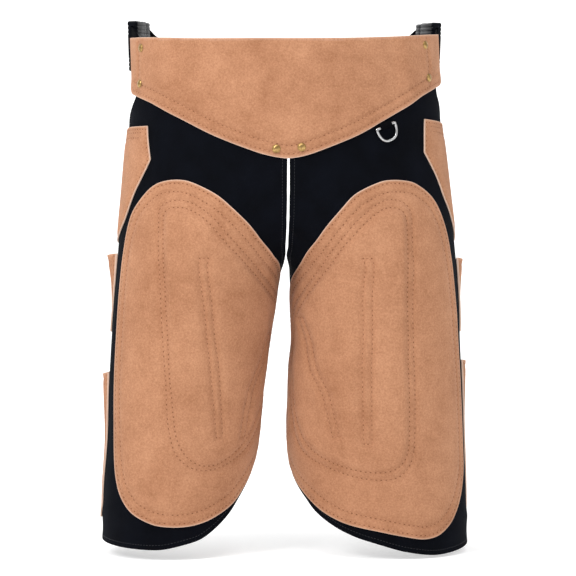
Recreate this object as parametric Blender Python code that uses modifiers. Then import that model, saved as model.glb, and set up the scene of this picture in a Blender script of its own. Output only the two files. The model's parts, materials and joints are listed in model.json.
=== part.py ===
# Farrier apron in its worn form, with no wearer inside.
# A suede waist panel carries two canvas leg panels with suede thigh patches, suede hip
# panels and side pockets. A webbing belt with two side buckles closes it behind, and a
# webbing strap with a small buckle closes each leg. A D-ring hangs from the waist panel.
# The origin is the middle of the waist at belt height, +X the wearer's left, -Y the front.

import bmesh
import bpy
import math
from mathutils import Matrix, Vector

for old in list(bpy.data.objects):
    bpy.data.objects.remove(old)

# Driving sizes, in metres and degrees.
canvas_thick = 0.0016
suede_thick = 0.0020
webbing_thick = 0.0018
seam_gap = 0.0006
slit_half_width = 0.0016
grid_turn = 10.0
turn_lines = [k * grid_turn for k in range(-11, 30)]
height_lines = [
    -0.650, -0.610, -0.570, -0.530, -0.490, -0.450, -0.410, -0.370, -0.335, -0.305, -0.280,
    -0.260, -0.240, -0.220, -0.200, -0.175, -0.145, -0.115, -0.080, -0.045, -0.010, 0.025, 0.060,
]
degree_length = 0.0020

waist_webbing_width = 0.060
belt_webbing_width = 0.050
leg_webbing_width = 0.038
leg_strap_height = -0.360
belt_buckle_turns = (84.5, 115.0)
leg_buckle_turns = (144.0, 177.0)

rivet_radius = 0.0055
rivet_rise = 0.0024
ring_wire_radius = 0.00175
ring_width = 0.032
ring_depth = 0.0225
tab_width = 0.017
tab_thick = 0.0012

canvas_lift = 0.0
cover_lift = canvas_thick + seam_gap
waist_end_lift = cover_lift + webbing_thick + seam_gap
leg_strap_lift = -webbing_thick - seam_gap

# The form is a stack of half-round sections, one table for each leg. Above the crotch
# both tables give the same ring round the waist.
# Columns: height, inner reach, outer reach, front, half depth, all in millimetres.
right_form = (
    (60, -200, 200, 135, 135),
    (-15, -203, 199, 135, 135),
    (-60, -206, 203, 135, 134),
    (-120, -213, 209, 134, 131),
    (-165, -145, 212.5, 132, 124),
    (-200, -75, 215.5, 131, 118),
    (-235, -18, 218, 129, 114),
    (-265, 7, 220, 128, 110),
    (-310, 16.5, 223.5, 126, 107),
    (-360, 24, 227, 124, 105),
    (-420, 31.5, 230, 122, 103),
    (-480, 37.5, 231.5, 120, 101),
    (-555, 49, 237, 118, 99),
    (-650, 56, 239, 117, 98),
)
left_form = (
    (60, -200, 200, 135, 135),
    (-15, -199, 203, 135, 135),
    (-60, -203, 206, 135, 134),
    (-120, -209, 213, 134, 131),
    (-165, -145, 217.5, 132, 124),
    (-200, -75, 221, 131, 119),
    (-235, -18, 224, 129, 116),
    (-265, 7.5, 226.5, 128, 114),
    (-310, 10.5, 229, 127, 112),
    (-350, 13, 230.5, 125, 111),
    (-395, 8.5, 232.5, 124, 111),
    (-480, 6.5, 236, 121, 111),
    (-555, 15, 239, 119, 109),
    (-650, 23, 241, 118, 108),
)
forms = {-1: right_form, 1: left_form}
side_names = {-1: "right", 1: "left"}

# Cut outlines, laid flat. Columns: degrees round the form from its front, height in
# millimetres, and 1 where the cut turns a corner.
waist_cut = (
    (-83, 42, 1), (-81, -8, 0), (-80, -27, 1), (-77, -33, 0), (-69, -39, 0),
    (-57, -50, 0), (-40, -74, 0), (-26, -96, 0), (-11.5, -116, 0), (-6, -121.5, 0),
    (-1, -124, 0), (4, -121.5, 0), (9, -116, 0), (24, -94.5, 0), (35.5, -74, 0),
    (50, -50, 0), (57.5, -38, 0), (69, -26, 0), (77, -20, 0), (81, -15, 1),
    (80.5, 15, 0), (80, 48, 1), (62, 42, 0), (45, 36, 0), (22, 30, 0), (-1, 28, 0),
    (-33, 30, 0), (-67, 38, 0),
)
leg_cuts = {
    -1: (
        (-86, -264, 0), (-93, -285, 0), (-97, -320, 0), (-98, -380, 0), (-98, -470, 0),
        (-93, -505, 0), (-84, -525, 0), (-73, -538, 0), (-60, -556, 0), (-48, -576, 0),
        (-34.5, -594, 0), (-22, -607, 0), (-8, -614, 0), (10, -620, 0), (35, -620, 0),
        (72, -617, 0), (98, -613, 0), (110, -604, 0), (114, -585, 0), (115, -500, 0),
        (117, -330, 0), (118, -200, 0), (116, -130, 0), (110, -92, 0), (98, -72, 0),
        (86, -58, 0), (79.5, -46, 0), (75, -34, 0), (74, 34, 1), (60, 30, 0),
        (33, 24, 0),
    ),
    1: (
        (-86, -266, 0), (-93, -288, 0), (-97, -322, 0), (-98, -380, 0), (-98, -480, 0),
        (-95, -515, 0), (-88, -532, 0), (-80, -541, 0), (-65, -559, 0), (-53, -577, 0),
        (-36, -595, 0), (-22, -606, 0), (-8, -614, 0), (10, -624, 0), (33, -630, 0),
        (71, -625, 0), (98, -620, 0), (110, -610, 0), (114, -590, 0), (115, -500, 0),
        (117, -330, 0), (118, -200, 0), (116, -126, 0), (110, -86, 0), (98, -66, 0),
        (87, -52, 0), (81, -41, 0), (76, -30, 0), (74, 38, 1), (60, 34, 0),
        (33, 26, 0),
    ),
}
patch_cuts = {
    -1: (
        (40, -149.5, 0), (33, -152, 0), (20, -166, 0), (5.5, -186, 0), (-11, -207, 0),
        (-28, -226, 0), (-50, -246, 0), (-70, -260, 0), (-85, -278, 0), (-92, -305, 0),
        (-94, -350, 0), (-94, -465, 0), (-88, -500, 0), (-77, -524, 0), (-62, -547, 0),
        (-49, -565, 0), (-29, -582, 0), (-15, -589, 0), (0, -591, 0), (16, -588, 0),
        (35, -574, 0), (47, -553, 0), (55.5, -524, 0), (61, -488, 0), (63.5, -430, 0),
        (65, -370, 0), (66, -300, 0), (65, -240, 0), (62.5, -194, 0), (54, -164, 0),
        (48, -153, 0),
    ),
    1: (
        (38, -149.5, 0), (30, -151.5, 0), (16.5, -166, 0), (3.5, -186, 0), (-11, -206, 0),
        (-27.5, -226, 0), (-47, -246, 0), (-68, -266, 0), (-82, -283, 0), (-91, -308, 0),
        (-94, -350, 0), (-94, -480, 0), (-89, -512, 0), (-80, -533, 0), (-62, -556, 0),
        (-45, -576, 0), (-28, -589, 0), (-6, -598, 0), (10, -604.5, 0), (23, -608.5, 0),
        (35, -604.5, 0), (48, -588, 0), (60, -558, 0), (67.5, -524, 0), (69, -486, 0),
        (68.5, -410, 0), (65.5, -340, 0), (62, -266, 0), (61, -214, 0), (56, -174, 0),
        (46, -153, 0),
    ),
}
hip_cuts = {
    -1: (
        (60, -78, 1), (58.2, -100, 0), (56, -122, 1), (61, -150, 0), (64.5, -168, 0),
        (70, -198, 0), (80, -217, 0), (92, -226, 0), (107, -229, 1), (108, -160, 0),
        (106, -112, 0), (97, -86, 0), (84, -77, 0),
    ),
    1: (
        (59, -68, 1), (57.8, -90, 0), (56.5, -112, 1), (63, -142, 0), (67, -168, 0),
        (72, -186, 0), (79, -206, 0), (92, -224, 0), (107, -231, 1), (108, -155, 0),
        (106, -106, 0), (97, -80, 0), (84, -70, 0),
    ),
}
# Pocket columns: first turn, last turn, mouth height, bottom height, and how far the
# mouth stands off, with the turn by which the front edge leans back towards the bottom.
pockets = {
    (-1, "upper"): (83, 109, -242, -345, 13, 4),
    (-1, "lower"): (82, 109, -398, -588, 7, 0),
    (1, "upper"): (82, 109, -247, -345, 9, 4),
    (1, "lower"): (83, 109, -382, -590, 6, 9),
}
# Fall of the stand-off with depth. Columns: share of the pocket's depth, share kept.
pocket_fall = ((0, 1), (0.2, 0.62), (0.4, 0.3), (0.6, 0.12), (0.8, 0.03), (1, 0))
# Belt height at its middle line. Columns: degrees round, millimetres.
belt_rise = ((50, 3), (66, 6), (84.5, 32), (115, 40), (123, 30), (134, 24), (180, 20))

materials = {}


def material(name, colour, roughness, metallic=0.0):
    if name not in materials:
        made = bpy.data.materials.new(name)
        made.use_nodes = True
        shader = made.node_tree.nodes["Principled BSDF"]
        shader.inputs["Base Color"].default_value = (*colour, 1.0)
        shader.inputs["Roughness"].default_value = roughness
        shader.inputs["Metallic"].default_value = metallic
        materials[name] = made
    return materials[name]


def suede():
    return material("tan_suede", (0.60, 0.31, 0.17), 0.9)


def canvas():
    return material("black_canvas", (0.012, 0.013, 0.018), 0.8)


def webbing():
    return material("black_webbing", (0.010, 0.010, 0.012), 0.7)


def plastic():
    return material("black_plastic", (0.015, 0.016, 0.020), 0.3)


apron = bpy.data.collections.new("farrier_apron")
cutters = bpy.data.collections.new("cutters")
bpy.context.scene.collection.children.link(apron)
bpy.context.scene.collection.children.link(cutters)


def add_object(name, data, made_of, collection=apron):
    made = bpy.data.objects.new(name, data)
    collection.objects.link(made)
    data.materials.append(made_of)
    return made


def column_slopes(places, values):
    """Slopes that keep a curve through the rows from overshooting them."""
    gaps = [b - a for a, b in zip(places, places[1:])]
    rises = [(b - a) / gap for a, b, gap in zip(values, values[1:], gaps)]
    slopes = [rises[0]]
    for before, after, low, high in zip(rises, rises[1:], gaps, gaps[1:]):
        if before * after <= 0:
            slopes.append(0.0)
            continue
        near = 2 * high + low
        far = high + 2 * low
        slopes.append((near + far) / (near / before + far / after))
    slopes.append(rises[-1])
    return slopes


def curve_through(places, values):
    """A smooth curve through rows whose places go up."""
    slopes = column_slopes(places, values)

    def at(place):
        place = min(max(place, places[0]), places[-1])
        row = 0
        while row < len(places) - 2 and place > places[row + 1]:
            row += 1
        gap = places[row + 1] - places[row]
        t = (place - places[row]) / gap
        start = (1 + 2 * t) * (1 - t) ** 2 * values[row]
        end = t * t * (3 - 2 * t) * values[row + 1]
        lean = t * (1 - t) ** 2 * gap * slopes[row] - t * t * (1 - t) * gap * slopes[row + 1]
        return start + end + lean

    return at


form_curves = {}
for side, table in forms.items():
    rows = sorted(table)
    heights = [row[0] / 1000 for row in rows]
    form_curves[side] = [
        curve_through(heights, [row[column] / 1000 for row in rows]) for column in range(1, 5)
    ]


def section(side, height):
    inner, outer, front, depth = (curve(height) for curve in form_curves[side])
    return (inner + outer) / 2, (outer - inner) / 2, front, depth


def on_form(side, turn, height, lift=0.0):
    """The place this many degrees round from the front, lifted off along the normal."""
    middle, reach, front, depth = section(side, height)
    angle = math.radians(turn)
    normal = Vector((depth * math.sin(angle), -reach * math.cos(angle))).normalized()
    across = middle + reach * math.sin(angle) + lift * normal.x
    back = depth - front - depth * math.cos(angle) + lift * normal.y
    return Vector((side * across, back, height))


def cell_of(lines, value):
    """The pair of neighbouring lines round a value, and how far it is between them."""
    row = 0
    while row < len(lines) - 2 and value >= lines[row + 1] - 1e-7:
        row += 1
    return lines[row], lines[row + 1], (value - lines[row]) / (lines[row + 1] - lines[row])


def on_sheet(side, turn, height, lift=0.0):
    """The place on flat facets between the grid's lines, so that layers stay parallel."""
    left, right, u = cell_of(turn_lines, turn)
    low, high, v = cell_of(height_lines, height)
    start = on_form(side, left, low, lift)
    end = on_form(side, right, high, lift)
    if v <= u:
        corner = on_form(side, right, low, lift)
        return start + u * (corner - start) + v * (end - corner)
    corner = on_form(side, left, high, lift)
    return start + v * (corner - start) + u * (end - corner)


def turn_at(side, across, height, lift):
    """Degrees round the form where its front stands this far across."""
    low, high = -90.0, 90.0
    for _ in range(30):
        middle = (low + high) / 2
        if side * on_sheet(side, middle, height, lift).x < across:
            low = middle
        else:
            high = middle
    return (low + high) / 2


def smooth_cut(rows, step=0.016):
    """Points along a closed cut, curved between its corners."""
    points = [Vector((turn * degree_length, height / 1000)) for turn, height, _ in rows]
    count = len(rows)
    out = []
    for i, (_, _, corner) in enumerate(rows):
        here = points[i]
        after = points[(i + 1) % count]
        leave = Vector((0, 0)) if corner else (after - points[i - 1]) / 2
        arrive = points[(i + 2) % count] - here
        arrive = Vector((0, 0)) if rows[(i + 1) % count][2] else arrive / 2
        span = (after - here).length
        longest = 0.9 * span
        if corner:
            leave = after - here
        if rows[(i + 1) % count][2]:
            arrive = after - here
        leave = leave.normalized() * min(leave.length, longest)
        arrive = arrive.normalized() * min(arrive.length, longest)
        steps = max(1, round(span / step))
        for k in range(steps):
            t = k / steps
            place = (1 + 2 * t) * (1 - t) ** 2 * here + t * t * (3 - 2 * t) * after
            place += t * (1 - t) ** 2 * leave - t * t * (1 - t) * arrive
            out.append(place)
    return out


def divide(flat, geometry, point, normal):
    bmesh.ops.bisect_plane(flat, geom=geometry, dist=1e-6, plane_co=point, plane_no=normal)


def flat_piece(points, bends):
    """One flat face of the cut, divided along the grid's lines, their diagonals and the bends."""
    flat = bmesh.new()
    flat.faces.new([flat.verts.new((point.x, point.y, 0)) for point in points])
    for line in [*turn_lines, *bends]:
        everything = flat.verts[:] + flat.edges[:] + flat.faces[:]
        divide(flat, everything, (line * degree_length, 0, 0), (1, 0, 0))
    for line in height_lines:
        everything = flat.verts[:] + flat.edges[:] + flat.faces[:]
        divide(flat, everything, (0, line, 0), (0, 1, 0))
    short = [edge for edge in flat.edges if edge.calc_length() < 0.0012]
    bmesh.ops.collapse(flat, edges=short)
    for face in flat.faces[:]:
        middle = face.calc_center_median()
        left, right, _ = cell_of(turn_lines, middle.x / degree_length)
        low, high, _ = cell_of(height_lines, middle.y)
        across = (right - left) * degree_length
        whole = list(face.verts) + list(face.edges) + [face]
        divide(flat, whole, (left * degree_length, low, 0), (low - high, across, 0))
    bmesh.ops.recalc_face_normals(flat, faces=flat.faces[:])
    if flat.faces[0].normal.z < 0:
        bmesh.ops.reverse_faces(flat, faces=flat.faces[:])
    return flat


def wrap(name, points, side, lift, thick, made_of, place=on_sheet, bends=()):
    """The flat cut wrapped round the form and given its thickness outwards."""
    flat = flat_piece(points, bends)
    for corner in flat.verts:
        turn = corner.co.x / degree_length
        height = corner.co.y
        off = lift(turn, height) if callable(lift) else lift
        corner.co = place(side, turn, height, off)
    if side < 0:
        bmesh.ops.reverse_faces(flat, faces=flat.faces[:])
    mesh = bpy.data.meshes.new(name)
    flat.to_mesh(mesh)
    flat.free()
    cloth = add_object(name, mesh, made_of)
    solidify = cloth.modifiers.new("cloth thickness", "SOLIDIFY")
    solidify.thickness = thick
    solidify.offset = 1.0
    solidify.use_even_offset = True
    return cloth


def ease(low, high, value):
    t = min(max((value - low) / (high - low), 0.0), 1.0)
    return t * t * (3 - 2 * t)


# Waist panel: one suede piece that steps out over the webbing ends at both hips.
def waist_lift(turn, height):
    return cover_lift + (waist_end_lift - cover_lift) * ease(40, 49, abs(turn))


wrap("waist_panel", smooth_cut(waist_cut), 1, waist_lift, suede_thick, suede())


# Leg panels: canvas from just under the waist panel's top edge to the hem. The inner
# edges hang beside the front slit, then turn in behind each thigh.
slit_top = 0.0225
slit_bottom = -0.248
slit_steps = 24


def leg_points(side):
    slit = []
    for k in range(slit_steps + 1):
        height = slit_top + (slit_bottom - slit_top) * k / slit_steps
        turn = turn_at(side, slit_half_width, height, canvas_thick)
        slit.append((turn, height * 1000, k == 0))
    return smooth_cut(tuple(slit) + leg_cuts[side])


for side, called in side_names.items():
    wrap(f"{called}_leg_panel", leg_points(side), side, canvas_lift, canvas_thick, canvas())
    wrap(f"{called}_thigh_patch", smooth_cut(patch_cuts[side]), side, cover_lift, suede_thick, suede())
    wrap(f"{called}_hip_panel", smooth_cut(hip_cuts[side]), side, cover_lift, suede_thick, suede())


# Side pockets: suede sewn along three edges, the mouth standing off the canvas.
kept_with_depth = curve_through([row[0] for row in pocket_fall], [row[1] for row in pocket_fall])

for (side, level), (first, last, mouth, bottom, stand_off, lean) in pockets.items():
    depth = mouth - bottom

    def pocket_lift(turn, height):
        share = min(max((mouth - height * 1000) / depth, 0.0), 1.0)
        edge = first + lean * share
        across = min(max((turn - edge) / (last - edge), 0.0), 1.0)
        swell = math.sin(math.pi * across) ** 0.8
        return cover_lift + stand_off / 1000 * kept_with_depth(share) * swell

    cut = (
        (first, mouth, 1), (first + lean / 2, (mouth + bottom) / 2, 0),
        (first + lean, bottom + 14, 1), (first + lean + 4, bottom, 1), (last - 3, bottom, 1),
        (last, bottom + 14, 1), (last, (mouth + bottom) / 2, 0), (last, mouth, 1),
        ((first + last) / 2, mouth - 2, 0),
    )
    wrap(f"{side_names[side]}_{level}_pocket", smooth_cut(cut, 0.012), side, pocket_lift, suede_thick, suede())


# Belt: webbing ends riveted under the waist panel, a side buckle at each hip and one
# strap round the back. The webbing runs straight through the buckles.
belt_height = curve_through([row[0] for row in belt_rise], [row[1] / 1000 for row in belt_rise])
buckle_start, buckle_end = belt_buckle_turns
belt_level = (belt_height(buckle_start) + belt_height(buckle_end)) / 2
# share of a buckle's span that the webbing reaches in
belt_tuck = 0.146
leg_tuck = 0.18


def straight_through(turns, level):
    """Places on the form, but upright on the straight line between the two turns."""

    def place(side, turn, height, lift):
        low, high = turns
        for start, end in ((low, high), (360 - high, 360 - low)):
            if start - 0.1 < turn < end + 0.1:
                share = (turn - start) / (end - start)
                here = on_sheet(side, start, level, lift)
                here = here.lerp(on_sheet(side, end, level, lift), share)
                here.z = height
                return here
        return on_sheet(side, turn, height, lift)

    return place


def webbing_cut(turns, height_at, width_at, bends):
    """Both edges of a strap along its middle line, with a point at each bend."""
    first, last = turns
    lines = [k * grid_turn for k in range(math.ceil(first / grid_turn), math.ceil(last / grid_turn))]
    fixed = [first, last] + [bend for bend in bends if first < bend < last]
    lines = [line for line in lines if all(abs(line - stop) > 1 for stop in fixed)]
    places = sorted(lines + fixed)
    lower = [Vector((t * degree_length, height_at(t) - width_at(t) / 2)) for t in places]
    upper = [Vector((t * degree_length, height_at(t) + width_at(t) / 2)) for t in places]
    return lower + upper[::-1]


def belt_middle(turn):
    turn = min(turn, 360 - turn)
    if buckle_start < turn < buckle_end:
        share = (turn - buckle_start) / (buckle_end - buckle_start)
        return belt_height(buckle_start) * (1 - share) + belt_height(buckle_end) * share
    return belt_height(turn)


def end_width(turn):
    narrowing = ease(76, 84, turn)
    return waist_webbing_width + (belt_webbing_width - waist_webbing_width) * narrowing


belt_place = straight_through(belt_buckle_turns, belt_level)
belt_reach = belt_tuck * (buckle_end - buckle_start)
for side, called in side_names.items():
    turns = (50, buckle_start + belt_reach)
    points = webbing_cut(turns, belt_middle, end_width, [buckle_start])
    wrap(
        f"{called}_belt_end", points, side, cover_lift, webbing_thick, webbing(), belt_place, [buckle_start],
    )
back_turns = (buckle_end - belt_reach, 360 - buckle_end + belt_reach)
back_bends = [buckle_end, 360 - buckle_end]
back_points = webbing_cut(back_turns, belt_middle, lambda turn: belt_webbing_width, back_bends)
wrap("back_belt", back_points, 1, cover_lift, webbing_thick, webbing(), belt_place, back_bends)


# Side-release buckles, drawn for 50 mm webbing and scaled for the leg straps. Local X
# runs along the strap from the front, Y outwards and Z across the webbing.
def block(name, size, middle, collection=cutters, made_of=None, soften=0.0):
    bpy.ops.mesh.primitive_cube_add(size=1)
    made = bpy.context.object
    made.name = name
    made.data.transform(Matrix.Translation(middle) @ Matrix.Diagonal((*size, 1)))
    for home in list(made.users_collection):
        home.objects.unlink(made)
    collection.objects.link(made)
    if made_of:
        made.data.materials.append(made_of)
    else:
        made.hide_render = True
        made.display_type = "WIRE"
    if soften:
        bevel = made.modifiers.new("rounded edges", "BEVEL")
        bevel.width = soften
        bevel.segments = 2
    return made


def join_or_cut(target, other, operation, frame):
    other.matrix_world = frame
    boolean = target.modifiers.new(other.name, "BOOLEAN")
    boolean.object = other
    boolean.operation = operation
    boolean.solver = "EXACT"


socket_size = (0.046, 0.014, 0.066)
prong_base_size = (0.020, 0.012, 0.064)
mouth_size = (0.030, 0.0075, 0.054)
prong_size = (0.024, 0.0050, 0.0080)
guide_size = (0.020, 0.0050, 0.0100)
slot_size = (0.0130, 0.0525)
slot_open = webbing_thick + 0.0016
halves_gap = 0.0006


def buckle(name, side, turns, heights, lift, scale):
    level = sum(heights) / 2
    start, end = (on_sheet(side, turn, level, lift + webbing_thick / 2) for turn in turns)
    start.z, end.z = heights
    along = (end - start).normalized()
    outwards = along.cross(Vector((0, 0, 1))).normalized() * side
    frame = Matrix((along, outwards, along.cross(outwards))).transposed().to_4x4()
    frame.translation = (start + end) / 2

    def sized(values):
        return Vector([value * scale for value in values])

    length = socket_size[0] + prong_base_size[0] + halves_gap / scale
    socket_x = (socket_size[0] - length) / 2
    base_x = (length - prong_base_size[0]) / 2
    seam_x = socket_x + socket_size[0] / 2
    soften = 0.0028 * scale

    socket = block(f"{name}_socket", sized(socket_size), sized((socket_x, 0, 0)), apron, plastic(), soften)
    socket.matrix_world = frame
    mouth = block(f"{name}_mouth", sized(mouth_size), sized((seam_x - mouth_size[0] / 2 + 0.002, 0, 0)))
    join_or_cut(socket, mouth, "DIFFERENCE", frame)
    slot_x = socket_x - socket_size[0] / 2 + slot_size[0] / 2 - 0.001
    slot_room = Vector((slot_size[0] * scale, slot_open, slot_size[1] * scale))
    slot = block(f"{name}_front_slot", slot_room, sized((slot_x, 0, 0)))
    join_or_cut(socket, slot, "DIFFERENCE", frame)
    window_size = (0.013, 0.0060, 0.080)
    window = block(f"{name}_windows", sized(window_size), sized((seam_x - 0.019, 0, 0)))
    join_or_cut(socket, window, "DIFFERENCE", frame)

    base = block(f"{name}_prongs", sized(prong_base_size), sized((base_x, 0, 0)), apron, plastic(), soften)
    base.matrix_world = frame
    reach_x = seam_x - prong_size[0] / 2 + 0.004
    for count, across in enumerate((-0.0215, 0.0215)):
        prong = block(f"{name}_prong_{count}", sized(prong_size), sized((reach_x, 0, across)))
        join_or_cut(base, prong, "UNION", frame)
    guide = block(f"{name}_guide", sized(guide_size), sized((seam_x - guide_size[0] / 2 + 0.004, 0, 0)))
    join_or_cut(base, guide, "UNION", frame)
    slot_x = base_x + prong_base_size[0] / 2 - slot_size[0] / 2 + 0.001
    slot = block(f"{name}_back_slot", slot_room, sized((slot_x, 0, 0)))
    join_or_cut(base, slot, "DIFFERENCE", frame)


belt_heights = (belt_height(buckle_start), belt_height(buckle_end))
for side, called in side_names.items():
    buckle(f"{called}_belt_buckle", side, belt_buckle_turns, belt_heights, cover_lift, 1.0)


# Leg straps: sewn inside the canvas edges, round behind the thigh.
leg_place = straight_through(leg_buckle_turns, leg_strap_height)
leg_scale = leg_webbing_width / belt_webbing_width
for side, called in side_names.items():
    low, high = leg_buckle_turns
    share = leg_tuck * (high - low)

    def level(turn):
        return leg_strap_height

    def width(turn):
        return leg_webbing_width

    outer = webbing_cut((100, low + share), level, width, [low])
    wrap(f"{called}_leg_strap_outer", outer, side, leg_strap_lift, webbing_thick, webbing(), leg_place)
    inner = webbing_cut((high - share, 276), level, width, [high])
    wrap(f"{called}_leg_strap_inner", inner, side, leg_strap_lift, webbing_thick, webbing(), leg_place)
    leg_heights = (leg_strap_height, leg_strap_height)
    buckle(f"{called}_leg_buckle", side, leg_buckle_turns, leg_heights, leg_strap_lift, leg_scale)


# Domed brass rivets: two at the low point of the waist panel and two at each end.
# Columns: degrees round, millimetres high.
rivet_places = ((-4.6, -112), (4.0, -110), (-66.5, 24), (-68, -22), (60.5, 28), (62.5, -14))
brass = material("brass", (0.60, 0.42, 0.16), 0.3, 1.0)


def standing_frame(side, turn, height, lift):
    """A frame on the form whose Z points out."""
    here = on_sheet(side, turn, height, lift)
    out = (on_sheet(side, turn, height, lift + 0.01) - here).normalized()
    frame = out.to_track_quat("Z", "Y").to_matrix().to_4x4()
    frame.translation = here
    return frame


for count, (turn, height) in enumerate(rivet_places, 1):
    rows = 4
    dome = bmesh.new()
    profile = [dome.verts.new((0, 0, 0))]
    for k in range(rows + 1):
        angle = math.pi / 2 * k / rows
        flare = rivet_radius * math.cos(angle)
        rise = 0.0004 + (rivet_rise - 0.0004) * math.sin(angle)
        if k == 0:
            profile.append(dome.verts.new((flare, 0, 0)))
        profile.append(dome.verts.new((flare if k < rows else 0, 0, rise)))
    edges = [dome.edges.new(pair) for pair in zip(profile, profile[1:])]
    bmesh.ops.spin(
        dome, geom=profile + edges, cent=(0, 0, 0), axis=(0, 0, 1), angle=math.tau,
        steps=14, use_merge=True,
    )
    bmesh.ops.remove_doubles(dome, verts=dome.verts[:], dist=1e-6)
    bmesh.ops.recalc_face_normals(dome, faces=dome.faces[:])
    mesh = bpy.data.meshes.new(f"rivet_{count}")
    dome.to_mesh(mesh)
    dome.free()
    rivet = add_object(f"rivet_{count}", mesh, brass)
    base = waist_lift(turn, height / 1000) + suede_thick + seam_gap + 0.0002
    rivet.matrix_world = standing_frame(1, turn, height / 1000, base)


# D-ring on a webbing tab just below the waist panel's edge, over the left leg.
ring_turns = ((31.5, -0.087), (40.5, -0.075))
tab_inside = ring_wire_radius + 0.0003
tab_outside = tab_inside + tab_thick
bar_lift = cover_lift + seam_gap + tab_outside
bar_ends = [on_sheet(1, turn, height, bar_lift) for turn, height in ring_turns]
ring_axis = (bar_ends[1] - bar_ends[0]).normalized()
ring_middle = (bar_ends[0] + bar_ends[1]) / 2
hang_normal = Vector((0, 0, -1)).cross(ring_axis).normalized()
ring_down = ring_axis.cross(hang_normal)
if ring_down.z > 0:
    ring_down = -ring_down
ring_frame = Matrix((ring_axis, ring_down, ring_axis.cross(ring_down))).transposed().to_4x4()
ring_frame.translation = ring_middle

half_bar = ring_width / 2 - ring_wire_radius
bow_drop = ring_depth - 2 * ring_wire_radius
ring_curve = bpy.data.curves.new("d_ring", "CURVE")
ring_curve.dimensions = "3D"
ring_curve.bevel_depth = ring_wire_radius
ring_curve.bevel_resolution = 2
line = ring_curve.splines.new("POLY")
ring_points = [(-half_bar, 0), (-half_bar / 2, 0), (half_bar / 2, 0), (half_bar, 0)]
bow_steps = 14
for k in range(1, bow_steps):
    angle = math.pi * k / bow_steps
    out = half_bar * math.copysign(abs(math.cos(angle)) ** 0.75, math.cos(angle))
    ring_points.append((out, bow_drop * math.sin(angle) ** 0.85))
line.points.add(len(ring_points) - 1)
for point, (x, y) in zip(line.points, ring_points):
    point.co = (x, y, 0, 1)
line.use_cyclic_u = True
steel = material("plated_steel", (0.62, 0.62, 0.62), 0.25, 1.0)
ring = add_object("d_ring", ring_curve, steel)
ring.matrix_world = ring_frame

# The tab is one strip folded round the bar, its two ends sewn under the waist panel.
surface_out = (on_sheet(1, 36, -0.081, 0.01) - on_sheet(1, 36, -0.081, 0)).normalized()
tab_out = (surface_out - ring_axis * surface_out.dot(ring_axis)).normalized()
tab_down = tab_out.cross(ring_axis)
if tab_down.z > 0:
    tab_down = -tab_down
tab_frame = Matrix((tab_out, tab_down, tab_out.cross(tab_down))).transposed().to_4x4()
tab_frame.translation = ring_middle
tab_rise = 0.0048


def fold(radius, top, near, far):
    """Half round below the bar, then up to the sewn ends."""
    points = [(near, -top)]
    for k in range(9):
        angle = math.pi * (1 - k / 8)
        points.append((radius * math.cos(angle), radius * math.sin(angle)))
    points.append((radius * math.cos(math.pi / 6), -radius * math.sin(math.pi / 6)))
    points.append((far, -top))
    return points


tab_curve = bpy.data.curves.new("d_ring_tab", "CURVE")
tab_curve.dimensions = "2D"
tab_curve.fill_mode = "BOTH"
tab_curve.extrude = tab_width / 2
for outline in (
    fold(tab_outside, tab_rise, -tab_outside, 2 * tab_thick - tab_outside + 0.0003),
    fold(tab_inside, tab_rise - 0.0014, -tab_inside, 0.0006 - tab_inside),
):
    spline = tab_curve.splines.new("POLY")
    spline.points.add(len(outline) - 1)
    for point, (x, y) in zip(spline.points, outline):
        point.co = (x, y, 0, 1)
    spline.use_cyclic_u = True
tab = add_object("d_ring_tab", tab_curve, webbing())
tab.matrix_world = tab_frame
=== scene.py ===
# Farrier apron, worn form: the finish of every surface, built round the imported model.
import json
import math

import bmesh
import bpy
import numpy as np
from mathutils import Matrix, Vector, noise
from mathutils.geometry import delaunay_2d_cdt
from mathutils.kdtree import KDTree


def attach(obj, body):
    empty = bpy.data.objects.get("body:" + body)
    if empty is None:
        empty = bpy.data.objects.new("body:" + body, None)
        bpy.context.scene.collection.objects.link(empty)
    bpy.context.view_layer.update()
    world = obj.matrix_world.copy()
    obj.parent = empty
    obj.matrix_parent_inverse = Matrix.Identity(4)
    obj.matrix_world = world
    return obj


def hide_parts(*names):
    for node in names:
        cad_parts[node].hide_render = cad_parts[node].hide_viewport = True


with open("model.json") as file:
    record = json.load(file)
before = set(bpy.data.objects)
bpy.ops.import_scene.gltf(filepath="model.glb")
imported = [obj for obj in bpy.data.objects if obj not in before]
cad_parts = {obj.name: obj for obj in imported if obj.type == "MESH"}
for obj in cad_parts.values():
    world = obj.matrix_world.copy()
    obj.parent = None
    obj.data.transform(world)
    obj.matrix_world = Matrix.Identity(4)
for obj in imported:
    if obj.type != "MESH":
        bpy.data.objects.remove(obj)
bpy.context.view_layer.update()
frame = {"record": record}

# Stage, light and camera
print("stage, light and camera")
look = {
    "distance": 2.6, "height": -0.2875, "yaw": 2.3, "lens": 122.05, "shift": 0.0066,
    "sensor": 36, "sky": 0.62,
}
paperSheet = {  # a flat sheet of paper that curves up behind the apron
    "height": -0.6338, "near": -7.0, "far": 3.0, "bend": 1.4, "top": 5.0, "halfWidth": 9.0, "bendSteps": 10,
    "tone": 0.88, "glowNear": 0.29, "glowFar": 0.5, "glowFrom": 0.7, "glowTo": 2.2,
}
lamps = {  # place, aim, size and watts of each soft light
    "keyLight": ((-1.9, -2.0, 1.7), (0.0, 0.0, -0.25), 1.2, 46.0),
    "fillLight": ((2.2, -2.0, 0.2), (0.0, 0.0, -0.3), 2.0, 7.0),
    "topLight": ((-0.1, -0.9, 2.2), (0.0, 0.0, -0.3), 1.8, 30.0),
    "backLight": ((-0.6, 2.2, 1.4), (0.0, 0.0, -0.3), 2.0, 14.0),
}


def link(made):
    bpy.context.scene.collection.objects.link(made)
    return made


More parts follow.
